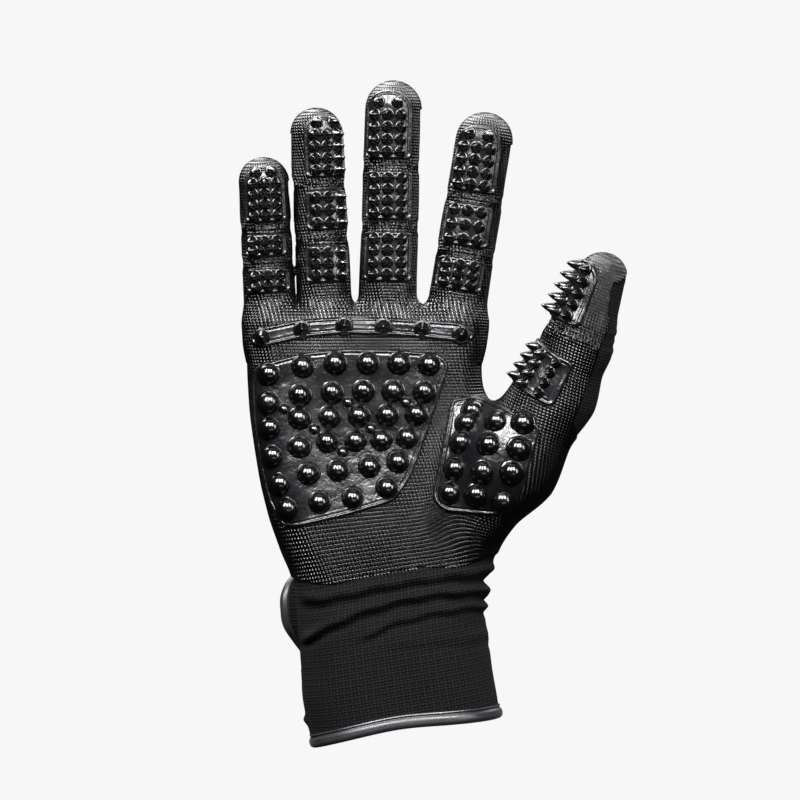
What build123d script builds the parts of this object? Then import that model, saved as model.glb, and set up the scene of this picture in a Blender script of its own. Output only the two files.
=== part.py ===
from build123d import *
import math
import os

# A pet grooming glove for the right hand: a knitted liner, a rubber dip over its palm side, moulded rubber
# pads with nubs, a cuff with a bound hem and a bound slit, and a hook-and-loop strap that closes the slit.
#
# Millimetres. The origin is the centre of the wrist opening. +Z runs from the cuff to the fingertips,
# -Y is the way the palm faces, and the thumb is on the +X side.
# The liner and its dip are cut at the creases, so that each finger segment turns about its crease.

# ---- fabric and rubber thicknesses ----
KNIT = 1.4
DIP = 0.6
PLATE = 1.0
GAP = 0.6            # between two segments of the liner at a crease
DIP_GAP = 1.0        # from a crease to the edge of the dip
DIP_HALF_ARC = 68    # the dip's reach round a finger from the middle of its pad, in degrees

# ---- nubs ----
SPIKE_R = 1.65
SPIKE_TIP_R = 0.35
SPIKE_H = 4.2
SPIKE_SINK = 0.7
COLUMN_ANGLE = 28    # between columns of spikes round a finger, in degrees
ROW_MARGIN = 2.6     # from the end of a pad to its first row
TIP_ROW_MARGIN = 5.0
DOME_R = 4.0
DOME_RISE = 3.6
SMALL_DOME_R = 2.0
SMALL_DOME_RISE = 1.5
POINT_R = 2.0
POINT_TIP_R = 0.5
POINT_RISE = 3.0

# ---- finger pads ----
PAD_HALF_ARC = 50    # in degrees
PAD_CORNER = 2.0

# ---- fingers: all four leave the palm at the root plane ----
ROOT_Z = 160.5
HINGE_RISE = 1.5     # of the root crease above the root plane
# root x, lean towards the thumb and forward lean (degrees), length, radius at the root and at the tip,
# the two upper creases, the spans of the three pads, their rows of spikes, and the pads' turn (degrees)
FINGERS = {
    "little": (-50.9, -2.8, 4.0, 54.0, 9.4, 8.8, (15.5, 28.3), ((4.0, 13.4), (17.6, 26.2), (30.4, 51.6)), (2, 2, 5), 0),
    "ring": (-30.6, -2.8, 1.5, 72.8, 9.8, 9.2, (24.1, 44.3), ((7.5, 21.4), (27.0, 42.0), (46.6, 70.0)), (3, 3, 5), 26),
    "middle": (-6.6, 1.5, 0.0, 82.8, 10.7, 10.0, (28.5, 51.1), ((7.6, 26.4), (30.6, 49.0), (53.2, 79.4)), (4, 4, 5), -10),
    "index": (19.6, 9.1, 1.0, 71.6, 10.8, 10.1, (18.9, 39.2), ((4.4, 16.8), (21.0, 37.1), (41.4, 66.4)), (3, 3, 5), -12),
}

# ---- thumb: its base segment stands on the thumb mound, and its tip segment on the base segment ----
THUMB_FOOT = (56.0, -16.0, 126.0)
THUMB_AXIS = (0.43, -0.21, 0.88)
THUMB_FACE = (-0.72, -0.62, 0.20)
THUMB_BASE_LENGTH = 28.5
THUMB_BASE_R = (13.2, 12.0)
THUMB_TIP_AXIS = (0.16, -0.15, 0.975)
THUMB_TIP_FACE = (-0.93, -0.30, 0.11)
THUMB_TIP_LENGTH = 29.0
THUMB_TIP_R = (10.8, 9.6)
THUMB_BASE_PAD = (5.0, 24.4)
THUMB_TIP_PAD = (3.2, 26.0)
THUMB_ROWS = (4, 5)
MOUND_FOOT = (23.4, -6.0, 78.3)
MOUND_R = (16.0, 14.0)

# ---- palm: rounded sections from the wrist to the root plane: z, left x, right x, half depth ----
PALM_SECTIONS = [
    (57.0, -42.0, 31.5, 22.5),
    (68.0, -46.0, 34.0, 20.8),
    (79.0, -50.0, 36.0, 19.4),
    (94.0, -53.6, 38.0, 17.8),
    (109.0, -56.0, 39.0, 16.6),
    (122.0, -57.8, 36.0, 15.7),
    (136.0, -59.2, 29.6, 14.7),
    (ROOT_Z, -60.8, 31.0, 12.6),
]
PALM_DIP_Y = 3.0     # the dip covers the palm's liner in front of this plane
CORNER_SHARE = 0.93  # a section's corner radius, as a share of its half depth

# ---- cuff: x, z, tilt (degrees), half width and half depth of its sections, hem first ----
FOREARM_TILT = 9.6
CUFF_SECTIONS = [
    (0.0, 0.0, FOREARM_TILT, 36.0, 26.0),
    (-2.6, 17.0, 7.5, 35.5, 25.4),
    (-5.0, 38.0, 3.0, 35.8, 24.2),
    (-5.25, 57.0, 0.0, 36.75, 22.5),
]
PALM_FOOT_Z = 57.0
BINDING = 1.1        # tape thickness on each face of the liner
BINDING_WIDTH = 5.0

# ---- slit in the back of the cuff, and the strap that crosses it ----
# Angles go round the cuff from +X, so 90 is behind and 180 is the little finger's side.
SLIT_ANGLE = 148.0
SLIT_WIDTH = 6.0
SLIT_TOP_Z = 52.0
STRAP_LOW, STRAP_HIGH = 10.0, 30.0
STRAP_FREE_END = 92.0
STRAP_HINGE = 160.5
STRAP_SEWN_END = 166.5
STRAP_HINGE_GAP = 1.0  # in degrees
STRAP_THICK = 1.3
LOOP_THICK = 1.4
LOOP_TO = 134.0
HOOK_THICK = 0.9
HOOK_GAP = 0.3
PATCH_MARGIN = 1.5   # from a patch's ends to the strap's end, in degrees, and to its edges, in millimetres

# ---- palm pads: outlines as (x, z) corners, corner radii, and nubs ----
PALM_PAD = [(-55.8, 136.6), (-22.0, 142.8), (13.6, 140.6), (6.0, 106.0), (-3.6, 86.0), (-46.6, 76.6), (-57.6, 118.0)]
PALM_PAD_CORNER = 5.0
THENAR_PAD = [(17.0, 123.0), (27.0, 124.5), (48.6, 113.0), (38.4, 81.6), (11.2, 83.8)]
THENAR_PAD_CORNER = 4.0
KNUCKLE_PAD = [(-57.6, 149.0), (-40.0, 154.6), (-24.0, 155.4), (9.0, 154.4), (26.2, 151.6), (24.0, 144.6),
               (-4.0, 147.2), (-24.0, 148.0), (-54.6, 142.6)]
KNUCKLE_PAD_CORNER = 2.4
PALM_DOMES = [
    (-50.8, 133.6), (-38.3, 136.4), (-26.2, 137.7), (-14.2, 137.7), (-2.6, 137.7), (8.6, 137.1),
    (-50.8, 123.1), (-39.3, 125.9), (-27.5, 126.8), (-15.9, 127.4), (-4.8, 127.4), (6.8, 127.1),
    (-50.4, 113.7), (-39.6, 117.2), (-28.5, 117.8), (-17.5, 118.1), (-6.9, 118.4), (3.9, 118.7),
    (-49.4, 103.2), (-39.6, 106.6), (-29.3, 108.5), (-18.8, 108.8), (-9.1, 109.1), (0.5, 110.0),
    (-46.7, 92.9), (-36.3, 96.6), (-25.3, 97.9), (-13.5, 99.2), (-2.9, 101.0),
    (-43.9, 83.9), (-32.1, 86.1), (-19.7, 87.6), (-6.9, 91.4),
]
PALM_SMALL_DOMES = [(-45.2, 120.6), (-21.5, 123.1), (-0.1, 123.1), (-34.0, 113.1), (-13.1, 113.4), (-23.5, 104.7)]
THENAR_DOMES = [
    (24.5, 120.0), (22.4, 115.5), (33.2, 116.1), (42.9, 115.5), (20.2, 108.4), (30.4, 107.7), (41.2, 106.2),
    (18.0, 98.7), (28.2, 97.8), (38.8, 97.5), (16.1, 89.7), (25.8, 89.1), (35.6, 86.9),
]
KNUCKLE_POINTS = [(-53.0, 147.4), (-38.6, 150.2), (-22.9, 151.6), (-8.4, 151.2), (6.0, 150.4), (20.4, 148.4)]

FAR = 400.0          # larger than the glove


def unit(v):
    return Vector(*v).normalized()


def half_space(point, normal):
    """Everything on the normal's side of a plane, as a large box."""
    plane = Plane(origin=point, z_dir=normal)
    return plane.location * Pos(0, 0, FAR / 2) * Box(FAR, FAR, FAR)


def slab(low, high):
    """Everything between two heights in a finger's own frame."""
    return Pos(0, 0, (low + high) / 2) * Box(FAR, FAR, high - low)


# ---- finger segments, drawn in a frame whose z is the finger's axis and whose -y is the way it closes ----
def frame_of(foot, axis, face):
    """The plane at a segment's foot: z along the segment, -y the way its palm side faces, x the crease."""
    a = unit(axis)
    n = Vector(*face)
    n = (n - a * n.dot(a)).normalized()
    return Plane(origin=foot, x_dir=a.cross(n), z_dir=a)


def finger_form(length, root_r, tip_r, grow):
    """A finger's body as a cone with a round end, grown by an offset."""
    shoulder = length - tip_r
    start = -8.0
    slope = (tip_r - root_r) / shoulder
    outline = Polyline(
        (0, start), (root_r + slope * start + grow, start), (tip_r + grow, shoulder)
    )
    reach = tip_r + grow
    dome = ThreePointArc(
        (reach, shoulder),
        (reach * math.cos(math.pi / 4), shoulder + reach * math.sin(math.pi / 4)),
        (0, shoulder + reach),
    )
    close = Line((0, shoulder + reach), (0, start))
    face = make_face(Plane.XZ * (outline + dome + close))
    return revolve(face, Axis.Z)


def sector(half_arc, turn):
    """A wedge round a finger's axis, centred on its palm side and turned by an angle."""
    wedge = revolve(Plane.XZ * Pos(FAR / 4, 0) * Rectangle(FAR / 2, FAR), Axis.Z, 2 * half_arc)
    return Rot(0, 0, -90 - half_arc + turn) * wedge


def pad_prism(low, high, half_width, turn, rounded):
    """The outline of a finger pad, pushed through the finger's palm side. A tip pad has a round end."""
    width = 2 * half_width
    if rounded:
        straight = high - half_width - low
        outline = Pos(0, low + straight / 2) * Rectangle(width, straight)
        outline += Pos(0, high - half_width) * Circle(half_width)
        corners = outline.vertices().sort_by(Axis.Y)[:2]
    else:
        outline = Pos(0, (low + high) / 2) * Rectangle(width, high - low)
        corners = outline.vertices()
    outline = fillet(corners, PAD_CORNER)
    return Rot(0, 0, turn) * extrude(Plane.XZ * outline, FAR / 2)


def spike(radius, height, angle, lift=0.0):
    """One pointed nub on a finger pad. lift tips it towards the fingertip."""
    out = Vector(math.sin(math.radians(angle)), -math.cos(math.radians(angle)), 0)
    aim = out + Vector(0, 0, math.tan(math.radians(lift)))
    seat = Plane(origin=out * radius + Vector(0, 0, height), z_dir=aim)
    tall = SPIKE_H + SPIKE_SINK
    return seat.location * Pos(0, 0, tall / 2 - SPIKE_SINK) * Cone(SPIKE_R, SPIKE_TIP_R, tall)


def finger_pad(form, span, rows, turn, is_tip, radius_at, lift=0.0):
    """A moulded pad with its spikes. form(grow) is the finger's body."""
    low, high = span
    half_width = radius_at((low + high) / 2) * math.sin(math.radians(PAD_HALF_ARC))
    pad = (form(DIP + PLATE) & pad_prism(low, high, half_width, turn, is_tip)) - form(DIP)
    top = high - (TIP_ROW_MARGIN if is_tip else ROW_MARGIN)
    step = (top - low - ROW_MARGIN) / (rows - 1)
    spikes = []
    for row in range(rows):
        height = low + ROW_MARGIN + row * step
        last = is_tip and row == rows - 1
        angles = (-COLUMN_ANGLE / 2, COLUMN_ANGLE / 2) if last else (-COLUMN_ANGLE, 0, COLUMN_ANGLE)
        for angle in angles:
            spikes.append(spike(radius_at(height) + DIP + PLATE, height, turn + angle, lift))
    return pad + spikes


def segment(form, low, high, turn, extra=None):
    """One segment's liner and dip between two heights. extra is a space that both are cut to."""
    liner = (form(0) - form(-KNIT)) & slab(low, high)
    dip = (form(DIP) - form(0)) & slab(low + DIP_GAP - GAP / 2, high - DIP_GAP + GAP / 2)
    dip = dip & sector(DIP_HALF_ARC, turn)
    if extra is not None:
        liner, dip = liner & extra, dip & extra
    return liner, dip


def finger(name):
    """The nine nodes of a finger: liner, dip and pad of its base, middle and tip segments."""
    root_x, lean, forward, length, root_r, tip_r, creases, pads, rows, turn = FINGERS[name]
    axis = finger_axis(lean, forward)
    place = frame_of((root_x, 0, ROOT_Z), axis, (0, -1, 0))

    def form(grow):
        return finger_form(length, root_r, tip_r, grow)

    def radius_at(height):
        return root_r + (tip_r - root_r) * height / (length - tip_r)

    above_root = place.location.inverse() * half_space((0, 0, ROOT_Z + GAP / 2), (0, 0, 1))
    ends = (-6.0, creases[0], creases[1], length + 10.0)
    nodes = {}
    for i, part in enumerate(("base", "middle", "tip")):
        low, high = ends[i] + GAP / 2, ends[i + 1] - GAP / 2
        liner, dip = segment(form, low, high, turn, above_root if i == 0 else None)
        pad = finger_pad(form, pads[i], rows[i], turn, part == "tip", radius_at)
        nodes[f"{name}_{part}_liner"] = place.location * liner
        nodes[f"{name}_{part}_dip"] = place.location * dip
        nodes[f"{name}_{part}_pad"] = place.location * pad
    return nodes


def finger_axis(lean, forward):
    """A finger's direction from its lean towards the thumb and its forward lean, in degrees."""
    a, b = math.radians(lean), math.radians(forward)
    return (math.sin(a) * math.cos(b), -math.sin(b), math.cos(a) * math.cos(b))


# ---- thumb ----
def thumb_creases():
    """The points on the thumb's palm side where its two segments turn."""
    foot = Vector(*THUMB_FOOT)
    lower = frame_of(THUMB_FOOT, THUMB_AXIS, THUMB_FACE)
    low_point = foot - lower.y_dir * THUMB_BASE_R[0]
    high_point = foot + lower.z_dir * THUMB_BASE_LENGTH - lower.y_dir * THUMB_BASE_R[1]
    return low_point, high_point


def thumb():
    """The six nodes of the thumb: liner, dip and pad of its base and tip segments."""
    low_point, high_point = thumb_creases()
    base_place = frame_of(THUMB_FOOT, THUMB_AXIS, THUMB_FACE)
    upright = frame_of((0, 0, 0), THUMB_TIP_AXIS, THUMB_TIP_FACE)
    tip_place = Plane(
        origin=high_point + upright.y_dir * THUMB_TIP_R[0], x_dir=upright.x_dir, z_dir=upright.z_dir
    )

    def base_form(grow):
        low_r, high_r = THUMB_BASE_R
        start, end = -8.0, THUMB_BASE_LENGTH + 12.0
        slope = (high_r - low_r) / THUMB_BASE_LENGTH
        low_x, high_x = low_r + slope * start + grow, low_r + slope * end + grow
        outline = Polyline((0, start), (low_x, start), (high_x, end), (0, end), close=True)
        return revolve(make_face(Plane.XZ * outline), Axis.Z)

    def tip_form(grow):
        return finger_form(THUMB_TIP_LENGTH, *THUMB_TIP_R, grow)

    under_tip = half_space(high_point - upright.z_dir * GAP / 2, -upright.z_dir)
    liner, dip = segment(
        base_form, GAP / 2, THUMB_BASE_LENGTH + 11.0, 0, base_place.location.inverse() * under_tip
    )
    pad = finger_pad(
        base_form, THUMB_BASE_PAD, THUMB_ROWS[0], 0, False,
        lambda h: THUMB_BASE_R[0] + (THUMB_BASE_R[1] - THUMB_BASE_R[0]) * h / THUMB_BASE_LENGTH,
    )
    nodes = {
        "thumb_base_liner": base_place.location * liner,
        "thumb_base_dip": base_place.location * dip,
        "thumb_base_pad": base_place.location * pad,
    }
    liner, dip = segment(tip_form, GAP / 2, THUMB_TIP_LENGTH + 10.0, 0)
    pad = finger_pad(
        tip_form, THUMB_TIP_PAD, THUMB_ROWS[1], 0, True,
        lambda h: THUMB_TIP_R[0] + (THUMB_TIP_R[1] - THUMB_TIP_R[0]) * h / THUMB_TIP_LENGTH,
        lift=20.0,
    )
    nodes["thumb_tip_liner"] = tip_place.location * liner
    nodes["thumb_tip_dip"] = tip_place.location * dip
    nodes["thumb_tip_pad"] = tip_place.location * pad
    return nodes


# ---- palm ----
def rounded_section(plane, half_width, half_depth, grow):
    width, depth = 2 * (half_width + grow), 2 * (half_depth + grow)
    return plane * RectangleRounded(width, depth, CORNER_SHARE * half_depth + grow)


def palm_form(grow):
    """The palm from the wrist to the root plane, with the thumb's mound, grown by an offset."""
    sections = [
        rounded_section(Plane(origin=((left + right) / 2, 0, z)), (right - left) / 2, half_depth, grow)
        for z, left, right, half_depth in PALM_SECTIONS
    ]
    return loft(sections, ruled=True) + mound_form(grow)


def mound_form(grow):
    """The thumb's mound: a cone between two balls, cut where the thumb's base segment starts."""
    foot, top = Vector(*MOUND_FOOT), Vector(*THUMB_FOOT)
    along = top - foot
    low_r, high_r = MOUND_R[0] + grow, MOUND_R[1] + grow
    body = Plane(origin=foot, z_dir=along).location * Pos(0, 0, along.length / 2) * Cone(low_r, high_r, along.length)
    body += Pos(*foot) * Sphere(low_r)
    body += Pos(*top) * Sphere(high_r)
    low_point, _ = thumb_creases()
    axis = unit(THUMB_AXIS)
    return body & half_space(low_point - axis * GAP / 2, -axis)


def palm_liner():
    hollow = palm_form(-KNIT) & half_space((0, 0, ROOT_Z - GAP / 2 - KNIT), (0, 0, -1))
    # both hollows run on past the wall that they open, at the wrist and at the thumb
    wrist = rounded_section(Plane(origin=(-5.25, 0, PALM_FOOT_Z - 2)), 36.75, 22.5, -KNIT)
    hollow += extrude(wrist, 4)
    low_point, _ = thumb_creases()
    axis = unit(THUMB_AXIS)
    hollow += Plane(origin=Vector(*THUMB_FOOT), z_dir=axis).location * Cylinder(THUMB_BASE_R[0] - KNIT, 12)
    liner = palm_form(0) & half_space((0, 0, ROOT_Z - GAP / 2), (0, 0, -1))
    liner -= hollow
    for root_x, lean, forward, _, root_r, *_ in FINGERS.values():
        hole = Plane(origin=(root_x, 0, ROOT_Z), z_dir=finger_axis(lean, forward))
        liner -= hole.location * Cylinder(root_r - KNIT, 12)
    return liner


def palm_dip():
    front = half_space((0, PALM_DIP_Y, 0), (0, -1, 0))
    top = half_space((0, 0, ROOT_Z - DIP_GAP), (0, 0, -1))
    low_point, _ = thumb_creases()
    axis = unit(THUMB_AXIS)
    at_thumb = half_space(low_point - axis * DIP_GAP, -axis)
    return (palm_form(DIP) & front & top & at_thumb) - palm_form(0)


def outline_prism(corners, radius):
    """A rounded outline in the XZ plane, pushed towards the palm side."""
    outline = make_face(Polyline(*corners, close=True))
    outline = fillet(outline.vertices(), radius)
    return extrude(Plane.XZ * outline, FAR / 2)


def palm_side_y(skin, x, z):
    """Where the skin's palm side is at x, z."""
    line = Axis((x, -FAR / 2, z), (0, 1, 0))
    return min(point.Y for point, _ in skin.find_intersection_points(line))


def dome_nub(skin, x, z):
    return Pos(x, palm_side_y(skin, x, z) - DOME_RISE + DOME_R, z) * Sphere(DOME_R)


def small_dome_nub(skin, x, z):
    return Pos(x, palm_side_y(skin, x, z) - SMALL_DOME_RISE + SMALL_DOME_R, z) * Sphere(SMALL_DOME_R)


def pointed_nub(skin, x, z):
    middle = palm_side_y(skin, x, z) + SPIKE_SINK - (POINT_RISE + SPIKE_SINK) / 2
    return Pos(x, middle, z) * Rot(90, 0, 0) * Cone(POINT_R, POINT_TIP_R, POINT_RISE + SPIKE_SINK)


def palm_side_pad(corners, corner_radius, nubs):
    """A moulded pad of the palm. nubs lists each kind of nub with the places it stands at."""
    under, skin = palm_form(DIP), palm_form(DIP + PLATE)
    plate = (skin & outline_prism(corners, corner_radius)) - under
    plate = max(plate.solids(), key=lambda solid: solid.volume)
    return plate + [nub(skin, x, z) - under for nub, places in nubs for x, z in places]


# ---- cuff, slit and strap ----
def cuff_form(grow):
    sections = [
        rounded_section(
            Plane(origin=(x, 0, z), x_dir=(math.cos(math.radians(tilt)), 0, math.sin(math.radians(tilt))),
                  z_dir=(-math.sin(math.radians(tilt)), 0, math.cos(math.radians(tilt)))),
            half_width, half_depth, grow,
        )
        for x, z, tilt, half_width, half_depth in CUFF_SECTIONS
    ]
    return loft(sections, ruled=True)


def forearm_slab(low, high):
    """Everything between two heights above the hem, measured square to it."""
    tilt = math.radians(FOREARM_TILT)
    plane = Plane(origin=(0, 0, 0), x_dir=(math.cos(tilt), 0, math.sin(tilt)), z_dir=(-math.sin(tilt), 0, math.cos(tilt)))
    return plane.location * Pos(0, 0, (low + high) / 2) * Box(FAR, FAR, high - low)


def slit_prism(grow):
    """The slit's outline, round at its top and open at the hem, pushed out through the cuff's back."""
    angle = math.radians(SLIT_ANGLE)
    out = Vector(math.cos(angle), math.sin(angle), 0)
    plane = Plane(origin=(-3.0, 0, 0), x_dir=out.cross(Vector(0, 0, 1)), z_dir=out)
    half = SLIT_WIDTH / 2 + grow
    low, high = -30.0, SLIT_TOP_Z - SLIT_WIDTH / 2
    # on this plane the drawing's y is the glove's z
    flip = 1 if plane.y_dir.Z > 0 else -1
    outline = Pos(0, flip * (low + high) / 2) * Rectangle(2 * half, high - low)
    outline += Pos(0, flip * high) * Circle(half)
    return extrude(plane * outline, 60)


def cuff_liner():
    """The cuff's knit from the hem to the palm, with its slit."""
    wall = (cuff_form(0) - cuff_form(-KNIT)) & forearm_slab(BINDING, FAR)
    return (wall & half_space((0, 0, PALM_FOOT_Z), (0, 0, -1))) - slit_prism(0)


def tape_form():
    """The space between the binding tape's two faces, all round and all the way up the cuff."""
    return cuff_form(BINDING) - cuff_form(-KNIT - BINDING)


def hem_binding():
    return ((tape_form() & forearm_slab(0, BINDING_WIDTH)) - slit_prism(0)) - cuff_liner()


def slit_binding():
    frame = slit_prism(BINDING_WIDTH - BINDING) - slit_prism(-BINDING)
    tape = (tape_form() & frame & forearm_slab(BINDING_WIDTH + 0.2, FAR)) - cuff_liner()
    return tape & half_space((0, 0, PALM_FOOT_Z - GAP), (0, 0, -1))


def round_cuff(low_angle, high_angle):
    """A wedge of the space round the cuff, between two angles from +X."""
    wedge = revolve(Plane.XZ * Pos(FAR / 4, 0) * Rectangle(FAR / 2, FAR), Axis.Z, high_angle - low_angle)
    return Pos(-3.0, 0, 0) * Rot(0, 0, low_angle) * wedge


def band(inner, outer, low_angle, high_angle, low=STRAP_LOW, high=STRAP_HIGH):
    """A strip of the strap's height that follows the cuff between two offsets and two angles."""
    shell = cuff_form(outer) - cuff_form(inner)
    return shell & round_cuff(low_angle, high_angle) & forearm_slab(low, high)


def strap_nodes():
    """The strap with its hooks, and what is sewn to the cuff: the strap's fixed end and the loops."""
    hooks_in = LOOP_THICK + HOOK_GAP
    strap_in = hooks_in + HOOK_THICK
    low, high, end = STRAP_LOW + PATCH_MARGIN, STRAP_HIGH - PATCH_MARGIN, STRAP_FREE_END + PATCH_MARGIN
    half_gap = STRAP_HINGE_GAP / 2
    return {
        "loop_patch": band(0, LOOP_THICK, end, LOOP_TO, low, high),
        "hook_patch": band(hooks_in, strap_in, end, LOOP_TO - PATCH_MARGIN, low, high),
        "strap": band(strap_in, strap_in + STRAP_THICK, STRAP_FREE_END, STRAP_HINGE - half_gap),
        "strap_anchor": band(0, strap_in + STRAP_THICK, STRAP_HINGE + half_gap, STRAP_SEWN_END),
    }


def all_nodes():
    nodes = {
        "cuff_liner": cuff_liner(),
        "hem_binding": hem_binding(),
        "slit_binding": slit_binding(),
        "palm_liner": palm_liner(),
        "palm_dip": palm_dip(),
        "palm_pad": palm_side_pad(
            PALM_PAD, PALM_PAD_CORNER, [(dome_nub, PALM_DOMES), (small_dome_nub, PALM_SMALL_DOMES)]
        ),
        "thenar_pad": palm_side_pad(THENAR_PAD, THENAR_PAD_CORNER, [(dome_nub, THENAR_DOMES)]),
        "knuckle_pad": palm_side_pad(KNUCKLE_PAD, KNUCKLE_PAD_CORNER, [(pointed_nub, KNUCKLE_POINTS)]),
    }
    nodes.update(strap_nodes())
    for name in FINGERS:
        nodes.update(finger(name))
    nodes.update(thumb())
    return nodes


if __name__ == "__main__":
    os.makedirs("parts", exist_ok=True)
    for name, shape in all_nodes().items():
        export_step(shape, f"parts/{name}.step")
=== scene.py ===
"""The looks of the pet grooming glove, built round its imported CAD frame.

The knitted skin is the level set of a distance field: round cones for the fingers and thumb, and rounded
sections for the palm and cuff, joined smoothly. The rubber dip and the moulded pads are level sets of the same
field, a little further out. Lengths are in millimetres until a mesh is made.
"""

import math

import bpy
import numpy as np
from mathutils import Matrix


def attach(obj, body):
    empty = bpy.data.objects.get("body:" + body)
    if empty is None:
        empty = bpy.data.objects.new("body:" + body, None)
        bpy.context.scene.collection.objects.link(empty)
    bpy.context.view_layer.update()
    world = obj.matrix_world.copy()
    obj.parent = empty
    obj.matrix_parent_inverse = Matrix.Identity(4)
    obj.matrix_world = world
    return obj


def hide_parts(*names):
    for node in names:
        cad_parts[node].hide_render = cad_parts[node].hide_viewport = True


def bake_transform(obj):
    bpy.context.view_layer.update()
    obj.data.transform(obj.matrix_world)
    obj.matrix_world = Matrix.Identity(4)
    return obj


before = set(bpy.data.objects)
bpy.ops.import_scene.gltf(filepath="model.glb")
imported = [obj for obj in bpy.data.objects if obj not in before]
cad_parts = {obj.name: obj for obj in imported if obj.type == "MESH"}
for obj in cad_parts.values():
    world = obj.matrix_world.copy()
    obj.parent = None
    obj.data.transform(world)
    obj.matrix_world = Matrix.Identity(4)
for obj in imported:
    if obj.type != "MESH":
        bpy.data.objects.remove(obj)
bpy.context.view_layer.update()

MM = 0.001
SKIN_STEP = 0.75
PAD_STEP = 0.42

# ---- sizes shared with the CAD model ----
ROOT_Z = 160.5
# root x, lean, forward lean, length, root radius, tip radius, upper creases, pad spans, rows, crease turn, dip limits
FINGERS = {
    "little": (-50.9, -2.8, 4.0, 54.0, 9.4, 8.8, (15.5, 28.3),
               ((4.0, 13.4), (17.6, 26.2), (30.4, 51.6)), (2, 2, 5), 0, (-100, 80)),
    "ring": (-30.6, -2.8, 1.5, 72.8, 9.8, 9.2, (24.1, 44.3),
             ((7.5, 21.4), (27.0, 42.0), (46.6, 70.0)), (3, 3, 5), 26, (-80, 92)),
    "middle": (-6.6, 1.5, 0.0, 82.8, 10.7, 10.0, (28.5, 51.1),
               ((7.6, 26.4), (30.6, 49.0), (53.2, 79.4)), (4, 4, 5), -10, (-92, 72)),
    "index": (19.6, 9.1, 1.0, 71.6, 10.8, 10.1, (18.9, 39.2),
              ((4.4, 16.8), (21.0, 37.1), (41.4, 66.4)), (3, 3, 5), -12, (-92, 62)),
}
# how far each pad of a finger is turned to the thumb's side, and how far its last row is from the end of the tip pad
PAD_TURNS = {"little": (0, -3, 2), "ring": (13, 20, 22), "middle": (-4, -6, -10), "index": (-8, -10, -12)}
TIP_MARGINS = {"little": 2.7, "ring": 3.0, "middle": 5.0, "index": 3.6}
THUMB_FOOT = np.array((56.0, -16.0, 126.0))
THUMB_BASE_LENGTH = 28.5
THUMB_BASE_R = (13.2, 12.0)
THUMB_TIP_LENGTH = 31.6
THUMB_TIP_R = (12.0, 8.6)
FOREARM_TILT = math.radians(9.6)
DIP = 0.55
PLATE = 0.95
# the box that holds the skin, and the knit's pitches on the fingers and thumb
BOX_LOW, BOX_HIGH = (-72, -42, -13), (92, 34, 252)
WALE_PITCH, COURSE_PITCH = 1.35, 1.12
# how much of a moulded pad's edge is left clear of its first and last rows
ROW_MARGIN = 2.7


# ---------------------------------------------------------------- maths
def unit(v):
    v = np.asarray(v, float)
    return v / np.linalg.norm(v)


def unit_rows(V):
    return V / np.linalg.norm(V, axis=1)[:, None]


def smooth(low, high, x):
    t = np.clip((x - low) / (high - low), 0, 1)
    return t * t * (3 - 2 * t)


def smin(a, b, k):
    h = np.clip(0.5 + 0.5 * (b - a) / k, 0, 1)
    return b + (a - b) * h - k * h * (1 - h)


def bell(x, width):
    return np.exp(-((x / width) ** 2))


def curve(x, knots, values):
    """A smooth curve through the knots, as a cubic with slopes taken from its neighbours."""
    knots, values = np.asarray(knots, float), np.asarray(values, float)
    slopes = np.gradient(values, knots)
    x = np.clip(x, knots[0], knots[-1])
    i = np.clip(np.searchsorted(knots, x) - 1, 0, len(knots) - 2)
    h = knots[i + 1] - knots[i]
    t = (x - knots[i]) / h
    a, b = values[i], values[i + 1]
    return (
        a * (1 + 2 * t) * (1 - t) ** 2
        + b * t * t * (3 - 2 * t)
        + h * (slopes[i] * t * (1 - t) ** 2 - slopes[i + 1] * t * t * (1 - t))
    )


WAVES = np.random.default_rng(11)
WAVE_DIRECTIONS = WAVES.normal(size=(7, 3))
WAVE_PHASES = WAVES.uniform(0, 2 * math.pi, 7)


def ripple(P, wavelength):
    """A smooth irregular value between about -1 and 1, the same each run."""
    total = 0.0
    for d, phase in zip(WAVE_DIRECTIONS, WAVE_PHASES):
        d = unit(d)
        swirl = 1.7 * np.sin(P @ (d[[1, 2, 0]] * 2.3 / wavelength))
        total = total + np.sin(P @ (d * 2 * math.pi / wavelength) + phase + swirl)
    return total / 4.0


# ---------------------------------------------------------------- frames of the fingers and thumb
class Segment:
    """A finger's or thumb segment's own frame: z along it, x its crease, -y the way its palm side faces."""

    def __init__(self, foot, axis, face, length, root_r, tip_r, round_end=True):
        self.foot = np.asarray(foot, float)
        self.z = unit(axis)
        n = np.asarray(face, float)
        n = unit(n - self.z * (n @ self.z))
        self.y = -n
        self.x = np.cross(self.y, self.z)
        self.length, self.root_r, self.tip_r = length, root_r, tip_r
        self.shoulder = length - tip_r if round_end else length
        self.slope = (tip_r - root_r) / self.shoulder

    def local(self, P):
        Q = P - self.foot
        return Q @ self.x, Q @ self.y, Q @ self.z

    def place(self, x, y, z):
        return self.foot + np.outer(x, self.x) + np.outer(y, self.y) + np.outer(z, self.z)

    def radius(self, height):
        return self.root_r + self.slope * np.clip(height, -20, self.shoulder)

    def distance(self, P, below):
        """A round cone from below the foot to the round end."""
        x, y, z = self.local(P)
        h = np.clip(z, -below, self.shoulder)
        return np.sqrt(x * x + y * y + (z - h) ** 2) - self.radius(h)

    def angle(self, P):
        """The angle round the axis from the palm side, towards +x."""
        x, y, _ = self.local(P)
        return np.arctan2(x, -y)


def finger_segment(name):
    x, lean, forward, length, root_r, tip_r = FINGERS[name][:6]
    a, b = math.radians(lean), math.radians(forward)
    axis = (math.sin(a) * math.cos(b), -math.sin(b), math.cos(a) * math.cos(b))
    return Segment((x, 0, ROOT_Z), axis, (0, -1, 0), length, root_r, tip_r)


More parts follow.
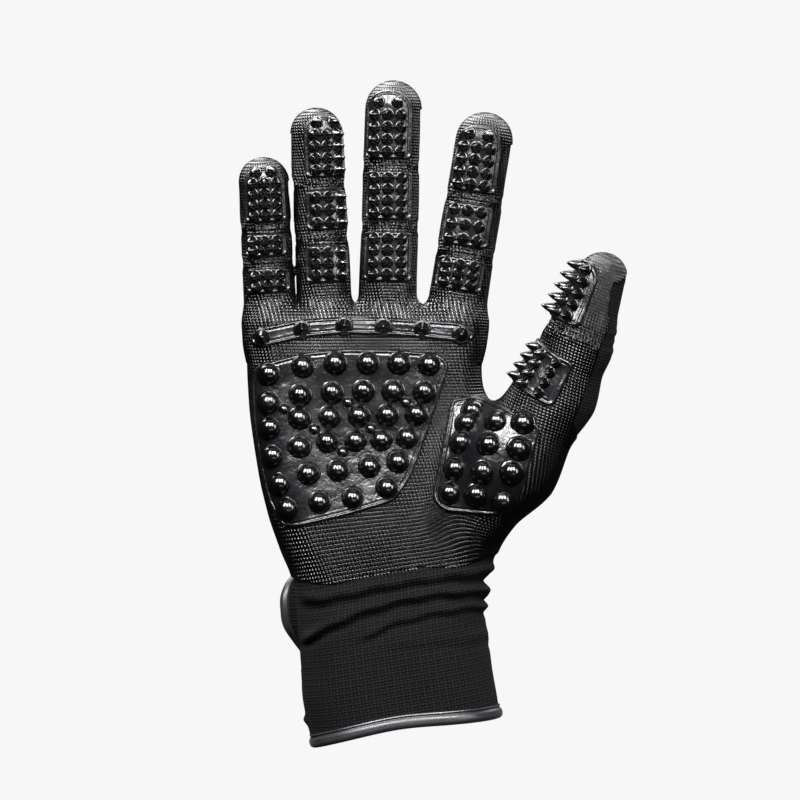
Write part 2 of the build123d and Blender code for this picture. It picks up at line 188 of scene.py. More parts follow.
SEG = {name: finger_segment(name) for name in FINGERS}
SEG["thumb_base"] = Segment(
    THUMB_FOOT, (0.43, -0.21, 0.88), (-0.72, -0.62, 0.20), THUMB_BASE_LENGTH, *THUMB_BASE_R, round_end=False
)
THUMB_JOINT = np.array((64.6, -22.0, 148.0))
SEG["thumb_tip"] = Segment(THUMB_JOINT, (0.33, -0.14, 0.93), (-0.86, -0.50, 0.10), THUMB_TIP_LENGTH, *THUMB_TIP_R)


# ---------------------------------------------------------------- the field
# z, left x, right x, front depth, back depth of the palm and cuff without the thumb's mound
SECTIONS = np.array([
    (-14.0, -32.8, 37.4, 25.6, 26.0),
    (0.0, -36.3, 36.0, 25.2, 25.6),
    (12.0, -38.4, 34.4, 24.8, 25.2),
    (22.0, -39.1, 32.6, 24.4, 24.8),
    (32.0, -39.8, 31.0, 23.8, 24.2),
    (43.0, -40.4, 29.6, 23.0, 23.6),
    (51.0, -41.0, 30.0, 22.2, 22.8),
    (58.0, -42.2, 30.2, 21.4, 21.8),
    (68.0, -46.0, 31.6, 20.2, 20.4),
    (79.0, -50.0, 33.0, 18.8, 19.0),
    (94.0, -54.0, 33.6, 17.2, 17.6),
    (109.0, -56.6, 32.0, 15.9, 16.4),
    (122.0, -58.2, 30.0, 15.0, 15.6),
    (136.0, -58.9, 28.0, 14.2, 15.0),
    (148.0, -59.6, 29.4, 13.2, 14.2),
    (166.0, -61.4, 32.0, 11.8, 12.4),
]).T
PALM_TOP = 158.6
MOUND = [((21.0, -5.5, 79.0), 14.8), ((37.6, -11.5, 101.0), 18.2), ((55.0, -16.0, 126.0), 13.6)]
CENTRE_X = -3.0


def section(z):
    left, right, front, back = (curve(z, SECTIONS[0], SECTIONS[i]) for i in (1, 2, 3, 4))
    return (left + right) / 2, (right - left) / 2, (back - front) / 2, (front + back) / 2


def cone_between(P, a, b, ra, rb):
    a, b = np.asarray(a, float), np.asarray(b, float)
    d = b - a
    t = np.clip((P - a) @ d / (d @ d), 0, 1)
    return np.linalg.norm(P - a - t[:, None] * d, axis=1) - (ra + (rb - ra) * t)


# folds of the loose knit between the dip and the cuff: x and z of each crest, its width and how far it stands out
FOLDS = [
    ((-44, -39, -24, -3.4, 12, 29, 40), (34.0, 35.6, 43.5, 50.6, 53.4, 53.6, 53.0), 2.0, 1.9),
    ((-20, -4.5, 8.6, 20, 28.5, 40), (35.0, 42.4, 45.8, 47.6, 47.8, 47.0), 1.7, 1.15),
    ((-44, -30, -14, 4, 20, 40), (50.5, 51.5, 55.0, 58.2, 60.0, 61.0), 2.2, 1.75),
    ((-10, 10, 30, 40), (33.0, 36.0, 37.0, 37.0), 2.4, 0.45),
]


def fold_lines(P):
    x, y, z = P.T
    front = smooth(12, -6, y)
    out = np.zeros(len(x))
    for xs, zs, width, height in FOLDS:
        line = np.where(front > 0, curve(x, xs, zs), zs[-1]) + 0.35 * np.sin(x * 0.45 + zs[0])
        line = line * front + (1 - front) * (zs[-1] - 2 + 1.8 * np.sin(x * 0.11 + zs[0]))
        gap = z - line
        fade = smooth(xs[0] - 1, xs[0] + 9, x) * (0.65 + 0.35 * front)
        out = out + height * fade * (bell(gap, width) - 0.7 * bell(gap + 1.7 * width, width * 0.9))
    return out * smooth(28, 34, z) * smooth(69, 62, z) * smooth(-41.5, -36, x + 3 * (1 - front))


# heights up the slit's loose front edge, its angle round the wrist and how far it lifts
FLARE_Z = (24, 27, 30, 33.75, 39, 44.6, 51.4, 55.5, 58.3, 61.5)
FLARE_EDGE = (154, 156.5, 161, 166, 172, 174, 172.5, 168, 162, 157)
FLARE_REACH = (0, 0.05, 0.9, 2.9, 5.3, 6.1, 5.2, 2.9, 1.0, 0)


def flare(P):
    """The loose front edge of the slit, which lifts away from the wrist at the little finger's side."""
    x, y, z = P.T
    angle = np.degrees(np.arctan2(y, x + 4.0)) % 360
    edge = curve(z, FLARE_Z, FLARE_EDGE)
    return 2.0 * curve(z, FLARE_Z, FLARE_REACH) * smooth(edge + 12, edge - 12, angle) * smooth(146.5, 152, angle)


def details(P):
    """What stands out of the plain form: the cuff's folds, the slit's lift, the hem's end and a slow unevenness."""
    out = 0.22 * ripple(P, 34.0) + 0.10 * ripple(P[:, [2, 0, 1]], 15.0)
    near_wrist = (P[:, 2] > 28) & (P[:, 2] < 72)
    if near_wrist.any():
        out[near_wrist] += fold_lines(P[near_wrist]) + flare(P[near_wrist])
    near_hem = (P[:, 2] < 12) & (P[:, 0] < -26)
    if near_hem.any():
        gap = P[near_hem] - (-38.0, -1.0, 4.2)
        out[near_hem] += 1.3 * np.exp(-((gap[:, 2] / 1.7) ** 2) - (gap[:, 1] / 4.5) ** 2)
    return out


def finger_relief(seg, P, creases, front_turn):
    """Pinched creases and the wrinkled rubber over them, on a finger."""
    x, y, h = seg.local(P)
    angle = np.arctan2(x, -y) - math.radians(front_turn)
    palm_side = 0.5 + 0.5 * np.cos(angle)
    out = 0.0
    for c in creases:
        g = h - c - 0.35 * np.sin(3 * angle + c)
        out = out - (0.22 + 0.33 * palm_side) * bell(g, 2.1)
        ropes = np.cos(2 * math.pi * g / 1.9 + 1.1 * np.sin(2.6 * angle + c))
        out = out + 0.14 * palm_side**2 * ropes * bell(g, 2.3)
        out = out + 0.30 * (1 - palm_side) ** 2 * np.cos(2 * math.pi * g / 3.4) * bell(g, 4.5)
    return out


def palm_field(P):
    x, y, z = P.T
    cx, hw, cy, hd = section(z)
    r = 0.90 * hd
    qx, qy = np.abs(x - cx) - (hw - r), np.abs(y - cy) - (hd - r)
    d = np.hypot(np.maximum(qx, 0), np.maximum(qy, 0)) + np.minimum(np.maximum(qx, qy), 0) - r
    cap = 7.0
    ax, az = d + cap, z - (PALM_TOP - cap)
    d = np.minimum(np.maximum(ax, az), 0) + np.hypot(np.maximum(ax, 0), np.maximum(az, 0)) - cap
    front = smooth(2, -6, y)
    d = d + 1.6 * front * bell(x + 14, 24) * bell(z - 112, 26)
    d = d - 1.0 * front * bell(x + 46, 11) * bell(z - 92, 28)
    for name in FINGERS:
        root = SEG[name].foot[0]
        d = d - 1.5 * (1 - front) * bell(x - root, 7.5) * bell(z - 150, 9.0)
        d = d + 0.5 * (1 - front) * bell(x - root - 10, 3.5) * bell(z - 146, 14.0)
    return d


def mound_field(P):
    (a, ra), (b, rb), (c, rc) = MOUND
    return smin(cone_between(P, a, b, ra, rb), cone_between(P, b, c, rb, rc), 6.0)


def thumb_field(P):
    base, tip = SEG["thumb_base"], SEG["thumb_tip"]
    b = cone_between(P, base.foot, THUMB_JOINT, THUMB_BASE_R[0] + 0.3, THUMB_TIP_R[0] + 0.3)
    t = tip.distance(P, 3.0)
    d = smin(b, t, 4.0)
    h = (P - tip.foot) @ tip.z
    angle = tip.angle(P)
    palm_side = 0.5 + 0.5 * np.cos(angle)
    g = h - 1.5 - 0.4 * np.sin(3 * angle)
    d = d + 0.6 * bell(g, 2.6) - 0.18 * palm_side**2 * np.cos(2 * math.pi * g / 2.0) * bell(g, 3.0)
    d = d - 0.25 * (1 - palm_side) ** 2 * np.cos(2 * math.pi * g / 3.6) * bell(g, 5.0)
    return d


def field(P):
    """The distance from the knit's outer face, in millimetres: below 0 inside."""
    P = np.asarray(P, float)
    palm = palm_field(P)
    z = P[:, 2]
    body = palm
    low = z > 48
    if low.any():
        body = palm.copy()
        body[low] = smin(palm[low], mound_field(P[low]), 11.0)
    out = body
    near = (P[:, 0] > 20) & (z > 96)
    if near.any():
        out = out.copy()
        out[near] = smin(out[near], thumb_field(P[near]), 7.0)
    high = z > 138
    if high.any():
        out = out.copy()
        Q, base = P[high], out[high]
        best = base
        for name, data in FINGERS.items():
            seg = SEG[name]
            d = seg.distance(Q, 14.0)
            close = d < 6
            if close.any():
                d[close] -= finger_relief(seg, Q[close], data[6], data[9]) * smooth(158, 164, Q[close, 2])
            best = np.minimum(best, smin(base, d, 5.0))
        out[high] = best
    return out - details(P)


def gradient(F, P, eps=0.12):
    g = np.empty_like(P)
    for i in range(3):
        step = np.zeros(3)
        step[i] = eps
        g[:, i] = (F(P + step) - F(P - step)) / (2 * eps)
    return g


# ---------------------------------------------------------------- level sets as meshes
def level_set(F, low, high, step, bump=1.5):
    """Points, quads and outward normals of F = 0 in a box, by surface nets on a fine grid near the surface."""
    low, high = np.asarray(low, float), np.asarray(high, float)
    block, per = 4 * step, 4
    count = np.ceil((high - low) / block).astype(int)
    centres = [low[i] + (np.arange(count[i]) + 0.5) * block for i in range(3)]
    C = np.stack(np.meshgrid(*centres, indexing="ij"), -1).reshape(-1, 3)
    rough = F(C).reshape(count)
    n = count * per + 1
    idx = [np.minimum(np.arange(n[i]) // per, count[i] - 1) for i in range(3)]
    value = rough[np.ix_(*idx)]
    near = np.abs(rough) < 0.87 * block + bump
    grown = near.copy()
    for axis in range(3):
        shifted = np.zeros_like(near)
        a = [slice(None)] * 3
        b = [slice(None)] * 3
        a[axis], b[axis] = slice(1, None), slice(None, -1)
        shifted[tuple(a)] |= near[tuple(b)]
        grown |= shifted
    fine = grown[np.ix_(*idx)]
    ijk = np.argwhere(fine)
    value[fine] = F(low + ijk * step)
    inside = value < 0

    points, cells, quads = [], [], []
    shape = n - 1
    for axis in range(3):
        u, v = (axis + 1) % 3, (axis + 2) % 3
        a = [slice(None)] * 3
        b = [slice(None)] * 3
        a[axis], b[axis] = slice(None, -1), slice(1, None)
        crossing = inside[tuple(a)] != inside[tuple(b)]
        e = np.argwhere(crossing)
        keep = (e[:, u] > 0) & (e[:, v] > 0) & (e[:, u] < shape[u]) & (e[:, v] < shape[v])
        e = e[keep]
        other = e.copy()
        other[:, axis] += 1
        va, vb = value[tuple(e.T)], value[tuple(other.T)]
        t = va / (va - vb)
        p = e.astype(float)
        p[:, axis] += t
        corner = []
        for du, dv in ((1, 1), (0, 1), (0, 0), (1, 0)):
            cell = e.copy()
            cell[:, u] -= du
            cell[:, v] -= dv
            flat = np.ravel_multi_index(tuple(cell.T), tuple(shape))
            corner.append(flat)
            points.append(p)
            cells.append(flat)
        q = np.stack(corner, 1)
        flip = vb < 0
        q[flip] = q[flip][:, ::-1]
        quads.append(q)
    points, cells, quads = np.concatenate(points), np.concatenate(cells), np.concatenate(quads)
    used, inverse = np.unique(cells, return_inverse=True)
    weight = np.bincount(inverse, minlength=len(used))
    P = np.stack([np.bincount(inverse, points[:, i], len(used)) / weight for i in range(3)], 1)
    P = low + P * step
    quads = np.searchsorted(used, quads)
    for _ in range(2):
        g = gradient(F, P, 0.05)
        move = F(P)[:, None] * g / np.maximum((g * g).sum(1), 0.2)[:, None]
        P = P - np.clip(move, -step, step)
    N = gradient(F, P, 0.10)
    N /= np.maximum(np.linalg.norm(N, axis=1), 1e-6)[:, None]
    return P, quads, N


def subset(P, quads, N, keep_face):
    """The part of a mesh whose faces are kept, with the numbers of its points in the whole."""
    quads = quads[keep_face]
    used, inverse = np.unique(quads, return_inverse=True)
    return P[used], inverse.reshape(-1, 4), N[used], used


def cast(origins, directions, level=0.0, steps=70):
    """Where rays from outside first meet the skin's level, and the outward normals there."""
    P = np.array(origins, float)
    D = np.asarray(directions, float)
    for _ in range(steps):
        P = P + D * (0.8 * (field(P) - level))[:, None]
    return P, unit_rows(gradient(field, P, 0.2))


# ---------------------------------------------------------------- where the dip is, and the knit's threads
def nearest_part(P):
    """Weights of the palm and of each digit at each point, from how near each is."""
    d = {"palm": palm_field(P)}
    for name in FINGERS:
        d[name] = SEG[name].distance(P, 2.0)
    base, tip = SEG["thumb_base"], SEG["thumb_tip"]
    d["thumb_base"] = np.minimum(mound_field(P) + 1.0, base.distance(P, 6.0))
    d["thumb_tip"] = tip.distance(P, 0.0)
    low = np.min(list(d.values()), axis=0)
    w = {k: np.exp(-(v - low) / 1.6) for k, v in d.items()}
    total = sum(w.values())
    return {k: v / total for k, v in w.items()}


# the coat's lower edge across the palm
COAT_EDGE_X = (-60, -42, -37, -24, -9, 3, 21, 27, 33, 60)
COAT_EDGE_Z = (58.2, 57.4, 55.6, 56.8, 59.6, 61.4, 62.6, 64.2, 66.0, 72.0)


def coated_arc(seg, P, low, high, radius):
    """How far a point of a digit is inside the coat's two side edges."""
    angle = np.degrees(seg.angle(P))
    return np.minimum(angle - low, high - angle) * math.pi / 180 * radius


def over_tip(seg, P, arc):
    """The coat runs over the digit's round end."""
    _, y, h = seg.local(P)
    return np.maximum(arc, np.where(h > seg.shoulder, h - seg.shoulder - y * 0.9 + 1.5, -50))


def dip_region(P):
    """How far inside the dip's edge a point of the skin is, in millimetres."""
    x, y, z = P.T
    w = nearest_part(P)
    wobble = 0.7 * ripple(P, 19.0) + 0.25 * ripple(P[:, [1, 2, 0]], 7.0)
    side = np.where(x < 0, 3.6, -1.0) + 3.0 * smooth(20, 60, x) * smooth(120, 96, z)
    region = w["palm"] * (side - y)
    for name, data in FINGERS.items():
        seg = SEG[name]
        region = region + w[name] * over_tip(seg, P, coated_arc(seg, P, *data[10], seg.radius(0)))
    base, tip = SEG["thumb_base"], SEG["thumb_tip"]
    low_part = smooth(118, 96, z)
    arc = coated_arc(base, P, -88, 86, base.root_r) * (1 - low_part) + low_part * (6.0 - y)
    region = region + w["thumb_base"] * arc
    region = region + w["thumb_tip"] * over_tip(tip, P, coated_arc(tip, P, -92, 90, tip.root_r))
    return np.minimum(region, z - curve(x, COAT_EDGE_X, COAT_EDGE_Z)) + wobble


WALES = 152
PITCH_Z = np.arange(-40.0, 340.0, 1.0)
PITCH = 1.10 + 0.30 * smooth(54, 60, PITCH_Z) - 0.25 * smooth(84, 116, PITCH_Z)
COURSES = np.cumsum(1.0 / PITCH)


def threads(P):
    """The knit's thread numbers at points of the skin: wales count round the glove, courses along it."""
    x, y, z = P.T
    cx, hw, cy, hd = section(z)
    r = 0.9 * hd
    a, b = hw - r, hd - r
    dx, dy = x - cx, y - cy
    sx = np.sign(dx) + (dx == 0)
    ax = np.abs(dx)
    front = ax < a
    beyond = np.where(dy < 0, np.maximum(-dy - b, 1e-3), np.maximum(dy - b, 1e-3))
    corner_angle = np.arctan2(np.maximum(ax - a, 0), beyond)
    quarter = a + r * math.pi / 2 + b
    near_front = np.where(front, ax, a + r * corner_angle)
    near_back = 2 * quarter - near_front
    s = np.where(dy < 0, near_front, near_back)
    wale = sx * s / (4 * quarter) * WALES
    tilt = np.tan(FOREARM_TILT) * smooth(118, 50, z)
    course = np.interp(z - tilt * (x - cx), PITCH_Z, COURSES)
    return wale, course


def digit_threads(P, seg, wale0, course0):
    angle = seg.angle(P)
    _, _, h = seg.local(P)
    return wale0 + angle * seg.root_r / WALE_PITCH, course0 + h / COURSE_PITCH


def thread_attributes(P):
    w = nearest_part(P)
    wale, course = threads(P)
    out_w, out_c = wale * w["palm"], course * w["palm"]
    for name in FINGERS:
        seg = SEG[name]
        foot = np.array([[seg.foot[0], -12.0, seg.foot[2]]])
        w0, c0 = threads(foot)
        dw, dc = digit_threads(P, seg, w0[0], c0[0])
        out_w, out_c = out_w + dw * w[name], out_c + dc * w[name]
    base = SEG["thumb_base"]
    foot = np.array([[30.0, -20.0, 92.0]])
    w0, c0 = threads(foot)
    along = (P - foot[0]) @ unit((0.36, -0.1, 0.92))
    around = base.angle(P) * 15.0
    dw, dc = w0[0] + 12 + around / WALE_PITCH, c0[0] + along / COURSE_PITCH
    for name in ("thumb_base", "thumb_tip"):
        out_w, out_c = out_w + dw * w[name], out_c + dc * w[name]
    return out_w, out_c


# ---------------------------------------------------------------- gathered shapes
class Shape:
    """Points, normals, faces and values gathered for one mesh."""

    def __init__(self):
        self.points, self.normals, self.faces, self.slots, self.values = [], [], [], [], []
        self.count = 0

    def add(self, P, N, faces, slot=0, **values):
        self.points.append(np.asarray(P))
        self.normals.append(np.asarray(N))
        for f in faces if isinstance(faces, list) else [faces]:
            self.faces.append(np.asarray(f) + self.count)
            self.slots.append(np.full(len(f), slot))
        self.values.append({k: np.broadcast_to(v, len(P)) for k, v in values.items()})
        self.count += len(P)

    def mesh(self, name, materials, smooth_normals=True):
        P, N = np.concatenate(self.points), np.concatenate(self.normals)
        keys = sorted(set().union(*self.values))
        values = {
            k: np.concatenate([v.get(k, np.zeros(len(p))) for v, p in zip(self.values, self.points)]) for k in keys
        }
        mesh = bpy.data.meshes.new(name)
        mesh.vertices.add(len(P))
        mesh.vertices.foreach_set("co", (P * MM).astype(np.float32).ravel())
        sizes = np.concatenate([np.full(len(f), f.shape[1]) for f in self.faces])
        loops = np.concatenate([f.ravel() for f in self.faces]).astype(np.int32)
        mesh.loops.add(len(loops))
        mesh.loops.foreach_set("vertex_index", loops)
        mesh.polygons.add(len(sizes))
        starts = np.concatenate([[0], np.cumsum(sizes)[:-1]]).astype(np.int32)
        mesh.polygons.foreach_set("loop_start", starts)
        mesh.polygons.foreach_set("material_index", np.concatenate(self.slots).astype(np.int32))
        mesh.update(calc_edges=True)
        mesh.polygons.foreach_set("use_smooth", np.ones(len(sizes), bool))
        for key, value in values.items():
            attribute = mesh.attributes.new(key, "FLOAT", "POINT")
            attribute.data.foreach_set("value", value.astype(np.float32))
        for material in materials:
            mesh.materials.append(material)
        if smooth_normals:
            mesh.normals_split_custom_set_from_vertices(N.astype(np.float32).tolist())
        else:
            mesh.set_sharp_from_angle(angle=math.radians(38))
        obj = bpy.data.objects.new(name, mesh)
        bpy.context.scene.collection.objects.link(obj)
        return obj


def perpendicular(N):
    """Two directions across each normal."""
    up = np.where(np.abs(N[:, 2:3]) < 0.9, np.array([[0, 0, 1.0]]), np.array([[1.0, 0, 0]]))
    a = unit_rows(np.cross(up, N))
    return a, np.cross(N, a)


def add_nubs(shape, P, N, profile, around, slot=1):
    """A turned nub at each point, its profile given from the base out to the tip as (radius, height)."""
    profile = np.asarray(profile, float)
    r, h = profile.T
    slope_r, slope_h = np.gradient(r), np.gradient(h)
    out, up = slope_h, -slope_r
    size = np.hypot(out, up)
    out, up = out / size, up / size
    A, B = perpendicular(N)
    turn = np.arange(around) * 2 * math.pi / around
    for p, n, a, b in zip(P, N, A, B):
        ring = np.outer(np.cos(turn), a) + np.outer(np.sin(turn), b)
        V = (p + h[:, None, None] * n + r[:, None, None] * ring).reshape(-1, 3)
        W = (up[:, None, None] * n + out[:, None, None] * ring).reshape(-1, 3)
        V = np.concatenate([V, [p + n * (h[-1] + 0.02)]])
        W = np.concatenate([W, [n]])
        i, j = np.meshgrid(np.arange(len(r) - 1), np.arange(around), indexing="ij")
        k = (j + 1) % around
        quads = np.stack([i * around + j, i * around + k, (i + 1) * around + k, (i + 1) * around + j], -1)
        last = (len(r) - 1) * around
        j = np.arange(around)
        fan = np.stack([last + j, last + (j + 1) % around, np.full(around, len(V) - 1)], -1)
        shape.add(V, W, [quads.reshape(-1, 4), fan], slot)


def dome_profile(radius, rise, flare):
    phi = np.radians(np.linspace(8, 86, 9))
    dome = [(radius * math.cos(a), rise - radius + radius * math.sin(a)) for a in phi]
    return [(radius + flare, -0.35), (radius + 0.55 * flare, 0.02), (radius + 0.12 * flare, 0.16)] + dome


SPIKE = [
    (2.5, -0.3), (2.38, 0.16), (2.24, 0.34), (2.1, 0.22), (1.98, 0.5),
    (1.68, 1.3), (1.3, 2.1), (0.88, 2.8), (0.5, 3.3), (0.18, 3.6),
]
LONG_SPIKE = [(r * 0.94, h * 1.28) for r, h in SPIKE]
SHORT_SPIKE = [(r * 0.94, h * 1.08) for r, h in SPIKE]
POINTED = [
    (3.7, -0.3), (3.4, 0.14), (3.1, 0.26), (2.85, 0.12), (2.6, 0.35),
    (2.2, 0.9), (1.42, 1.7), (1.02, 2.4), (0.66, 2.85), (0.3, 3.08),
]


# ---------------------------------------------------------------- outlines
def rounded_outline(corners, radius, steps=6):
    corners = np.asarray(corners, float)
    out = []
    for before, corner, after in zip(np.roll(corners, 1, 0), corners, np.roll(corners, -1, 0)):
        a, b = unit(before - corner), unit(after - corner)
        reach = min(radius, 0.45 * np.linalg.norm(before - corner), 0.45 * np.linalg.norm(after - corner))
        for t in np.linspace(0, 1, steps):
            out.append((1 - t) ** 2 * (corner + a * reach) + 2 * t * (1 - t) * corner + t * t * (corner + b * reach))
    return np.array(out)


def inside_distance(outline, x, z):
    """How far inside a closed outline each point is; outside is negative."""
    a, b = outline, np.roll(outline, -1, 0)
    d = b - a
    best = np.full(len(x), 1e9)
    inside = np.zeros(len(x), bool)
    for (ax, az), (bx, bz), (dx, dz) in zip(a, b, d):
        t = np.clip(((x - ax) * dx + (z - az) * dz) / (dx * dx + dz * dz + 1e-12), 0, 1)
        best = np.minimum(best, np.hypot(x - ax - t * dx, z - az - t * dz))
        crosses = (az > z) != (bz > z)
        inside ^= crosses & (x < ax + dx * (z - az) / (dz if abs(dz) > 1e-12 else 1e-12))
    return np.where(inside, best, -best)


class Outline:
    def __init__(self, outline, margin=4.0, step=0.2):
        self.low, self.step = outline.min(0) - margin, step
        n = np.ceil((outline.max(0) + margin - self.low) / step).astype(int) + 1
        gx, gz = np.meshgrid(np.arange(n[0]), np.arange(n[1]), indexing="ij")
        self.table = inside_distance(outline, self.low[0] + gx.ravel() * step, self.low[1] + gz.ravel() * step)
        self.table = self.table.reshape(n)

    def __call__(self, x, z):
        u = np.clip((x - self.low[0]) / self.step, 0, self.table.shape[0] - 1.001)
        v = np.clip((z - self.low[1]) / self.step, 0, self.table.shape[1] - 1.001)
        i, j = u.astype(int), v.astype(int)
        u, v = u - i, v - j
        t = self.table
        near, far = (t[i, k] * (1 - u) + t[i + 1, k] * u for k in (j, j + 1))
        return near * (1 - v) + far * v


# ---------------------------------------------------------------- pads
def plate_level(e):
    """The pad's top, above the skin, by how far inside its edge: an edge, a thin raised rim, then the plate."""
    top = DIP + PLATE
    rim = 0.30 * bell(e - 0.85, 0.36) - 0.16 * bell(e - 1.6, 0.36) + 0.08 * bell(e - 2.3, 0.4)
    return 0.05 + (top - 0.05) * smooth(-0.30, 0.40, e) + rim


def pad_shape(inside, low, high):
    def F(P):
        return field(P) - plate_level(inside(P))

    P, Q, N = level_set(F, low, high, PAD_STEP, bump=2.5)
    e = inside(P[Q].mean(1))
    P, Q, N, _ = subset(P, Q, N, e > -0.30)
    shape = Shape()
    shape.add(P, N, Q, 0, edge=inside(P))
    return shape


def finger_pad_inside(seg, turn, span, is_tip, half_arc=50.0):
    lo, hi = span
    r_mid = seg.radius((lo + hi) / 2)
    half_w, half_h, mid = math.radians(half_arc) * r_mid, (hi - lo) / 2, (hi + lo) / 2
    top = 0.88 * half_w if is_tip else 2.4

    def inside(P):
        x, y, h = seg.local(P)
        angle = (np.arctan2(x, -y) - math.radians(turn) + math.pi) % (2 * math.pi) - math.pi
        across, up = np.abs(angle) * r_mid, h - mid
        corner = np.where(up > 0, top, 2.4)
        qx, qz = across - half_w + corner, np.abs(up) - half_h + corner
        return corner - np.hypot(np.maximum(qx, 0), np.maximum(qz, 0)) - np.minimum(np.maximum(qx, qz), 0)

    return inside


def finger_pad(seg, turn, span, rows, is_tip, profile=None, lift=0.0, top_margin=ROW_MARGIN):
    inside = finger_pad_inside(seg, turn, span, is_tip)
    ends = seg.place([0, 0], [0, 0], [span[0], span[1]])
    reach = seg.root_r + 4
    shape = pad_shape(inside, ends.min(0) - reach, ends.max(0) + reach)
    lo, hi = span
    step = (hi - top_margin - lo - ROW_MARGIN) / (rows - 1)
    angles, heights = [], []
    for row in range(rows):
        last = is_tip and row == rows - 1
        for angle in (-18, 18) if last else (-25, 0, 25):
            angles.append(math.radians(turn + angle))
            heights.append(lo + ROW_MARGIN + row * step)
    angles, heights = np.array(angles), np.array(heights)
    out = np.outer(np.sin(angles), seg.x) - np.outer(np.cos(angles), seg.y)
    on_axis = seg.foot + np.outer(heights, seg.z)
    P, N = cast(on_axis + out * 22, -out, DIP + PLATE)
    N = unit_rows(out * 0.75 + N * 0.25 + seg.z * math.tan(math.radians(lift)))
    add_nubs(shape, P, N, profile or SPIKE, 18)
    return shape


# outlines and nubs of the palm's pads, as x and z
PALM_PAD = [
    (-56.2, 136.7), (-38, 141.8), (-22.5, 143.2), (-4, 142.8), (11.6, 141.5), (16.0, 138), (14.9, 133),
    (9.9, 118.1), (4.6, 102.6), (1.1, 94.0), (-4.2, 87.0), (-8.5, 85.3), (-22.5, 81.2), (-41.1, 76.8),
    (-46.4, 77.2), (-51.8, 87), (-54.8, 99.5), (-57.3, 115), (-58.0, 130.5),
]
THENAR_PAD = [
    (17.0, 124.6), (26.5, 126.2), (49.8, 114.6), (45, 99.4), (41.5, 86.6), (38.0, 81.2), (27.6, 81.7),
    (13.5, 83.0), (9.3, 88.2), (10.8, 95), (13.3, 106.9), (16.0, 121),
]
KNUCKLE_PAD = [
    (-58.4, 148.4), (-53.0, 151.2), (-40.0, 154.0), (-24.0, 155.0), (-8.0, 154.8), (6.0, 154.0), (20.0, 153.0),
    (26.0, 150.6), (25.4, 146.4), (20.0, 145.6), (6.0, 147.2), (-8.0, 148.2), (-24.0, 148.6), (-38.0, 147.2),
    (-53.0, 143.8), (-57.8, 144.6),
]
PALM_DOMES = [
    (-50.8, 133.6), (-38.3, 136.4), (-26.2, 137.7), (-14.2, 137.7), (-2.6, 137.7), (8.6, 137.1),
    (-50.8, 123.1), (-39.3, 125.9), (-27.5, 126.8), (-15.9, 127.4), (-4.8, 127.4), (6.8, 127.1),
    (-50.4, 113.7), (-39.6, 117.2), (-28.5, 117.8), (-17.5, 118.1), (-6.9, 118.4), (3.9, 118.7),
    (-49.4, 103.2), (-39.6, 106.6), (-29.3, 108.5), (-18.8, 108.8), (-9.1, 109.1), (0.5, 110.0),
    (-46.7, 92.9), (-36.3, 96.6), (-25.3, 97.9), (-13.5, 99.2), (-2.9, 101.0),
    (-43.9, 83.9), (-32.1, 86.1), (-19.7, 87.6), (-6.9, 91.4),
]
SMALL_DOMES = [(-45.2, 120.6), (-21.5, 123.1), (-0.1, 123.1), (-34.0, 113.1), (-13.1, 113.4), (-23.5, 104.7)]
THENAR_DOMES = [
    (24.5, 120.0), (22.4, 115.5), (33.2, 116.1), (42.9, 115.5), (20.2, 108.4), (30.4, 107.7), (41.2, 106.2),
    (18.0, 98.7), (28.2, 97.8), (38.8, 97.5), (16.1, 89.7), (25.8, 89.1), (35.6, 86.9),
]
KNUCKLE_POINTS = [(-53.0, 147.4), (-38.6, 150.2), (-22.9, 151.6), (-8.4, 151.2), (6.0, 150.4), (20.4, 148.4)]


def palm_side_pad(corners, radius, nubs):
    outline = rounded_outline(corners, radius)
    lookup = Outline(outline)
    (x0, z0), (x1, z1) = outline.min(0) - 1.5, outline.max(0) + 1.5
    shape = pad_shape(lambda P: lookup(P[:, 0], P[:, 2]), (x0, -42, z0), (x1, -4, z1))
    for points, profile, around in nubs:
        x, z = np.array(points).T
        origins = np.stack([x, np.full(len(x), -50.0), z], 1)
        P, N = cast(origins, np.tile([0, 1.0, 0], (len(x), 1)), DIP + PLATE)
        N = unit_rows(N * 0.5 + np.array([0, -0.5, 0]))
        add_nubs(shape, P, N, profile, around)
    return shape


# ---------------------------------------------------------------- the slit, its edge and the hem
FOREARM = np.array((-math.sin(FOREARM_TILT), 0, math.cos(FOREARM_TILT)))
ACROSS = np.array((math.cos(FOREARM_TILT), 0, math.sin(FOREARM_TILT)))
SLIT_CENTRE = np.array((-4.0, 0, 0))
# angle and height along the slit's edge, up the front and down the back
SLIT_EDGE = np.array(
    [(153, -9.0), (153, 2), (153, 12), (153.2, 20)]
    + list(zip(FLARE_EDGE, FLARE_Z))[1:9]
    + [(156.5, 59.4), (151, 57.5), (148, 52), (146, 44), (144.5, 34), (143, 22), (143, 12), (143, 2), (143, -9.0)],
    float,
)
DEGREE_MM = 0.66


def slit_curve(count):
    steps = np.hypot(np.diff(SLIT_EDGE[:, 0]) * DEGREE_MM, np.diff(SLIT_EDGE[:, 1]))
    knots = np.concatenate([[0], np.cumsum(steps)])
    t = np.linspace(0, knots[-1], count)
    return curve(t, knots, SLIT_EDGE[:, 0]), curve(t, knots, SLIT_EDGE[:, 1])


_angles, _heights = slit_curve(160)
SLIT_LOOKUP = Outline(np.stack([_angles * DEGREE_MM, _heights], 1), margin=6.0)


def inside_slit(P):
    """How far inside the slit's outline a point of the cuff is."""
    Q = P - SLIT_CENTRE
    angle = np.degrees(np.arctan2(Q[:, 1], Q[:, 0])) % 360
    back = (angle > 120) & (angle < 190) & (P[:, 2] < 66)
    return np.where(back, SLIT_LOOKUP(angle * DEGREE_MM, P[:, 2]), -9.0)


